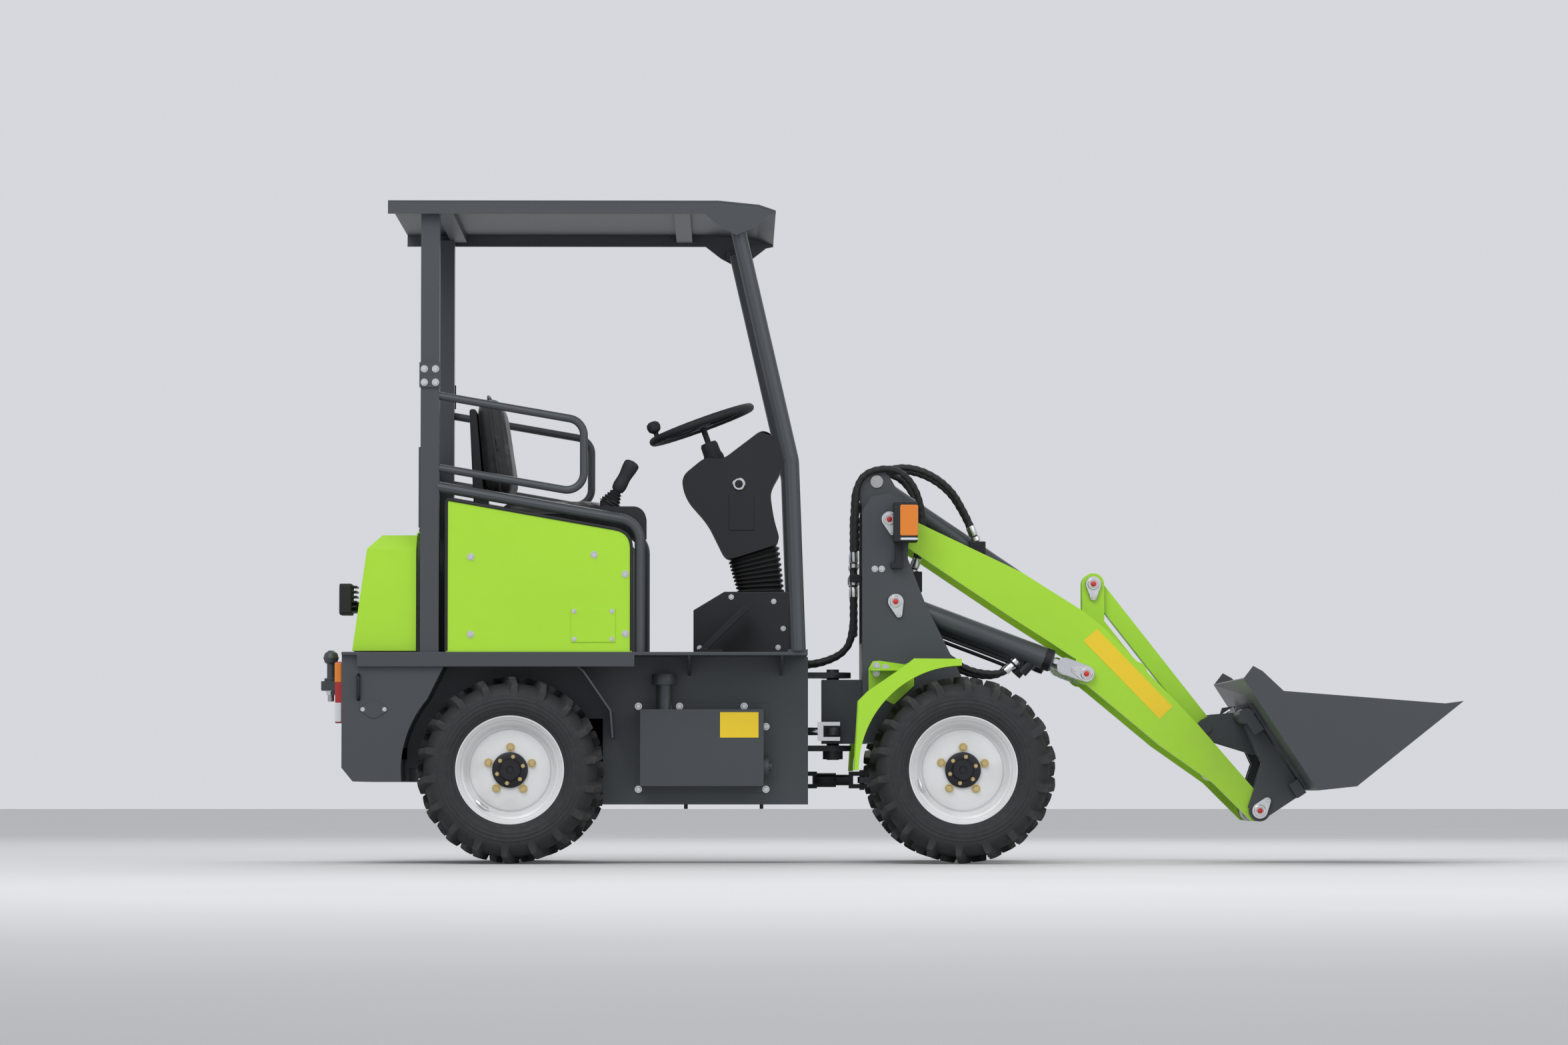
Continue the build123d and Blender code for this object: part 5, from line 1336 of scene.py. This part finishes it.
@dataclass
class Trim:
    """Rubber edging, covers, blank plates, lenses, glands, the tail's handles and the tow ball's nut."""

    tow_x: float = -1.768
    panel: tuple = ((-1.3745, 0.664), (-1.3745, 1.1375), (-0.7965, 1.0355), (-0.7965, 0.664))

    def edging(self) -> None:
        """Carry rubber edging round each side panel."""
        for side in Side:
            corners = [(x, side.value * 0.4995, z) for x, z in self.panel]
            path = evenly(route(corners, (0.010, 0.052)), 0.008)
            strip = carried(f"panel_edge_{side.name.lower()}", path, 0.0052, 10)
            finish_piece(strip, RUBBER, "rear_frame")

    def covers(self) -> None:
        """Build the access covers, the tail's diamond covers and handles, and the blank yellow plates."""
        for side in Side:
            tag, y = side.name.lower(), side.value
            low, high = sorted((y * 0.4995, y * 0.503))
            lid = block(f"access_cover_{tag}", (-0.985, low, 0.690), (-0.846, high, 0.797), 0.0015)
            finish_piece(lid, LIME, "rear_frame")
            diamond = hull_shape([(0.0, 0.0, 0.028), (0.0, -0.034, 0.009), (0.0, 0.034, 0.009)], 0.0035)
            spot, axis = np.array([(-1.600, y * 0.4895, 0.481)]), np.array([(0.0, y, 0.0)])
            finish_piece(stamped(f"tail_cover_{tag}", diamond, spot, axis), GREY, "rear_frame")
            grip = route([(-1.647, y * 0.488, 0.512), (-1.647, y * 0.506, 0.520), (-1.647, y * 0.506, 0.580),
                          (-1.647, y * 0.488, 0.588)], 0.008)
            finish_piece(carried(f"tail_handle_{tag}", grip, 0.006, 10), SATIN, "rear_frame")
            strip = np.array([(0.677, 0.741), (0.634, 0.703), (0.875, 0.455), (0.916, 0.4945)])
            rows = [np.column_stack([strip[:, 0], np.full(4, y * d), strip[:, 1]]) for d in (0.1995, 0.2010)]
            plate = skin(f"arm_plate_{tag}", np.stack(rows), Ends.CAPPED)
            finish_piece(plate, YELLOW_PLATE, "boom")
        plate = block("tank_plate", (-0.520, -0.3715, 0.394), (-0.399, -0.3695, 0.474), 0.0006)
        finish_piece(plate, YELLOW_PLATE, "rear_frame")

    def lenses(self) -> None:
        """Set the coloured lenses on the tail lamps, and the lenses and fins of the other lamps."""
        tail, back = (float(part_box(node)[0][0]) for node in ("tail_lamps", "work_lamp"))
        # name, body, edge, X range, distances from the middle, amber heights, clear heights
        lamps = (
            ("tail", "rear_frame", 0.002, (tail - 0.0012, tail + 0.020), (0.399, 0.471), (0.566, 0.626),
             (0.442, 0.502)),
            ("front", "front_frame", 0.006, (0.046, 0.1055), (0.258, 0.3235), (1.030, 1.132), (1.016, 1.028)),
        )
        for side in Side:
            for name, body, edge, (rear, front), across, *heights in lamps:
                low, high = sorted(side.value * y for y in across)
                for label, finish, (floor, top) in zip(("amber", "clear"), (AMBER_LENS, CLEAR_LENS), heights):
                    tag = f"{name}_{label}_{side.name.lower()}"
                    finish_piece(block(tag, (rear, low, floor), (front, high, top), edge), finish, body)
        lens = block("work_lens", (back - 0.002, -0.050, 0.800), (back + 0.006, 0.050, 0.880), 0.003)
        finish_piece(lens, CLEAR_LENS, "rear_hood")
        for number, z in enumerate(np.linspace(0.800, 0.880, 6)):
            low, high = (back + 0.038, -0.054, z - 0.003), (back + 0.056, 0.054, z + 0.003)
            finish_piece(block(f"work_fin_{number}", low, high, 0.001), SATIN, "rear_hood")

    def glands(self) -> None:
        """Build the ring nut at each cylinder's open end."""
        # body, base, direction, length, barrel's radius, bore
        x, y, z = LIFT_FOOT
        rows = [("lift_barrels", (x, side.value * y, z), LIFT_WAY, 0.532, 0.034, 0.019) for side in Side]
        rows.append(("tilt_barrel", (-0.021, 0.0, 1.212), (0.8269, 0.0, -0.5624), 0.720, 0.030, 0.018))
        for body, base, way, reach, barrel, bore in rows:
            way = np.asarray(way) / np.linalg.norm(way)
            place = np.asarray(base) + reach * way
            ring = [(bore, 0.0015), (barrel - 0.006, 0.0015), (barrel, -0.002), (barrel + 0.002, -0.004),
                    (barrel + 0.002, -0.026), (barrel - 0.0005, -0.028)]
            piece = turned(f"gland_{body}_{int(1000 * base[1])}", ring, place, way, 40, Ends.OPEN)
            finish_piece(piece, SATIN, body)

    def pins(self) -> None:
        """Build the tow ball's collar, nut and threaded end, and the plugs under the frame."""
        x, plug = self.tow_x, [(0.0055, 0.0), (0.006, 0.001), (0.006, 0.018)]
        collar = [(0.0215, 0.0), (0.0215, 0.009), (0.020, 0.011), (0.012, 0.011)]
        rows = [("tow_collar", GREY, (x, 0.0, 0.577), collar),
                ("tow_thread", STEEL, (x, 0.0, 0.513), [(0.008, 0.0), (0.0105, 0.002), (0.0105, 0.036)])]
        rows += [(f"frame_plug_{number}", SATIN, (place, -0.240, 0.170), plug)
                 for number, place in enumerate((-0.628, -0.389))]
        for name, finish, foot, profile in rows:
            lathe(name, profile, foot, (0.0, 0.0, 1.0), finish, "rear_frame", 32)
        nut = stamped("tow_nut", head_shape(0.0165, 0.015, 0.019), np.array([(x, 0.0, 0.5485)]),
                      np.array([(0.0, 0.0, -1.0)]))
        finish_piece(nut, ZINC, "rear_frame")

    def build(self) -> None:
        """Build all trim."""
        self.edging()
        self.covers()
        self.lenses()
        self.glands()
        self.pins()


@dataclass
class Studio:
    """Floor, lights and the camera at the photograph's angle."""

    image: tuple[int, int] = (2352, 1568)
    focal_px: float = 8413.0
    vanish: tuple[float, float] = (1097.0, 1190.0)
    eye: tuple[float, float, float] = (-0.4845, -18.0, 0.22)

    def camera(self) -> None:
        """Place the camera so that +Y vanishes where it does in the photograph."""
        width, height = self.image
        data = bpy.data.cameras.new("camera")
        data.sensor_width = 36.0
        data.lens = data.sensor_width * self.focal_px / width
        data.clip_end = 200.0
        yaw = math.atan2(width / 2 - self.vanish[0], self.focal_px)
        pitch = math.atan2(self.vanish[1] - height / 2, self.focal_px)
        camera = bpy.data.objects.new("camera", data)
        camera.location = self.eye
        camera.rotation_euler = (math.pi / 2 + pitch, 0.0, -yaw)
        bpy.context.collection.objects.link(camera)
        bpy.context.scene.camera = camera

    def floor(self) -> None:
        """Make a wide pale floor just under the tyres."""
        corners = np.array([(x, y, -0.001) for x in (-60.0, 60.0) for y in (-60.0, 60.0)])
        piece = mesh_piece("floor", corners, [[0, 2, 3, 1]])
        graph = Graph("floor_paint")
        graph.colour(graph.mix(graph.noise(0.8, 6.0), (0.60, 0.60, 0.60), (0.66, 0.66, 0.66)))
        graph.set(Roughness=0.75)
        piece.data.materials.append(graph.material)

    def lights(self) -> None:
        """Light the machine with a pale sky and three broad lamps."""
        world = bpy.data.worlds.new("sky")
        bpy.context.scene.world = world
        world.use_nodes = True
        back = world.node_tree.nodes["Background"]
        back.inputs["Color"].default_value = (0.93, 0.95, 1.0, 1.0)
        back.inputs["Strength"].default_value = 0.72
        for name, place, size, power in (
            ("key", (-3.0, -6.0, 7.0), 5.0, 300.0), ("fill", (5.0, -7.0, 3.5), 5.0, 110.0),
            ("rim", (1.0, 6.0, 6.0), 5.0, 170.0),
        ):
            data = bpy.data.lights.new(name, "AREA")
            data.size = size
            data.energy = power
            lamp = bpy.data.objects.new(name, data)
            lamp.location = place
            aim = Vector((0.0, 0.0, 0.8)) - Vector(place)
            lamp.rotation_euler = aim.to_track_quat("-Z", "Y").to_euler()
            bpy.context.collection.objects.link(lamp)

    def build(self) -> None:
        """Build the studio."""
        bpy.context.scene.view_settings.view_transform = "Standard"
        self.camera()
        self.floor()
        self.lights()


def main() -> None:
    """Build every sub-assembly in order."""
    logging.basicConfig(level=logging.INFO, format="%(name)s %(message)s")
    Studio().build()
    Hoses().build()
    Solids().dress()
    for end, x in (("front", 0.239), ("rear", -1.175)):
        for side in Side:
            Wheel(end, side, x).build()
    Fasteners().build()
    Controls().build()
    Seat().build()
    Trim().build()


if __name__ == "__main__":
    main()
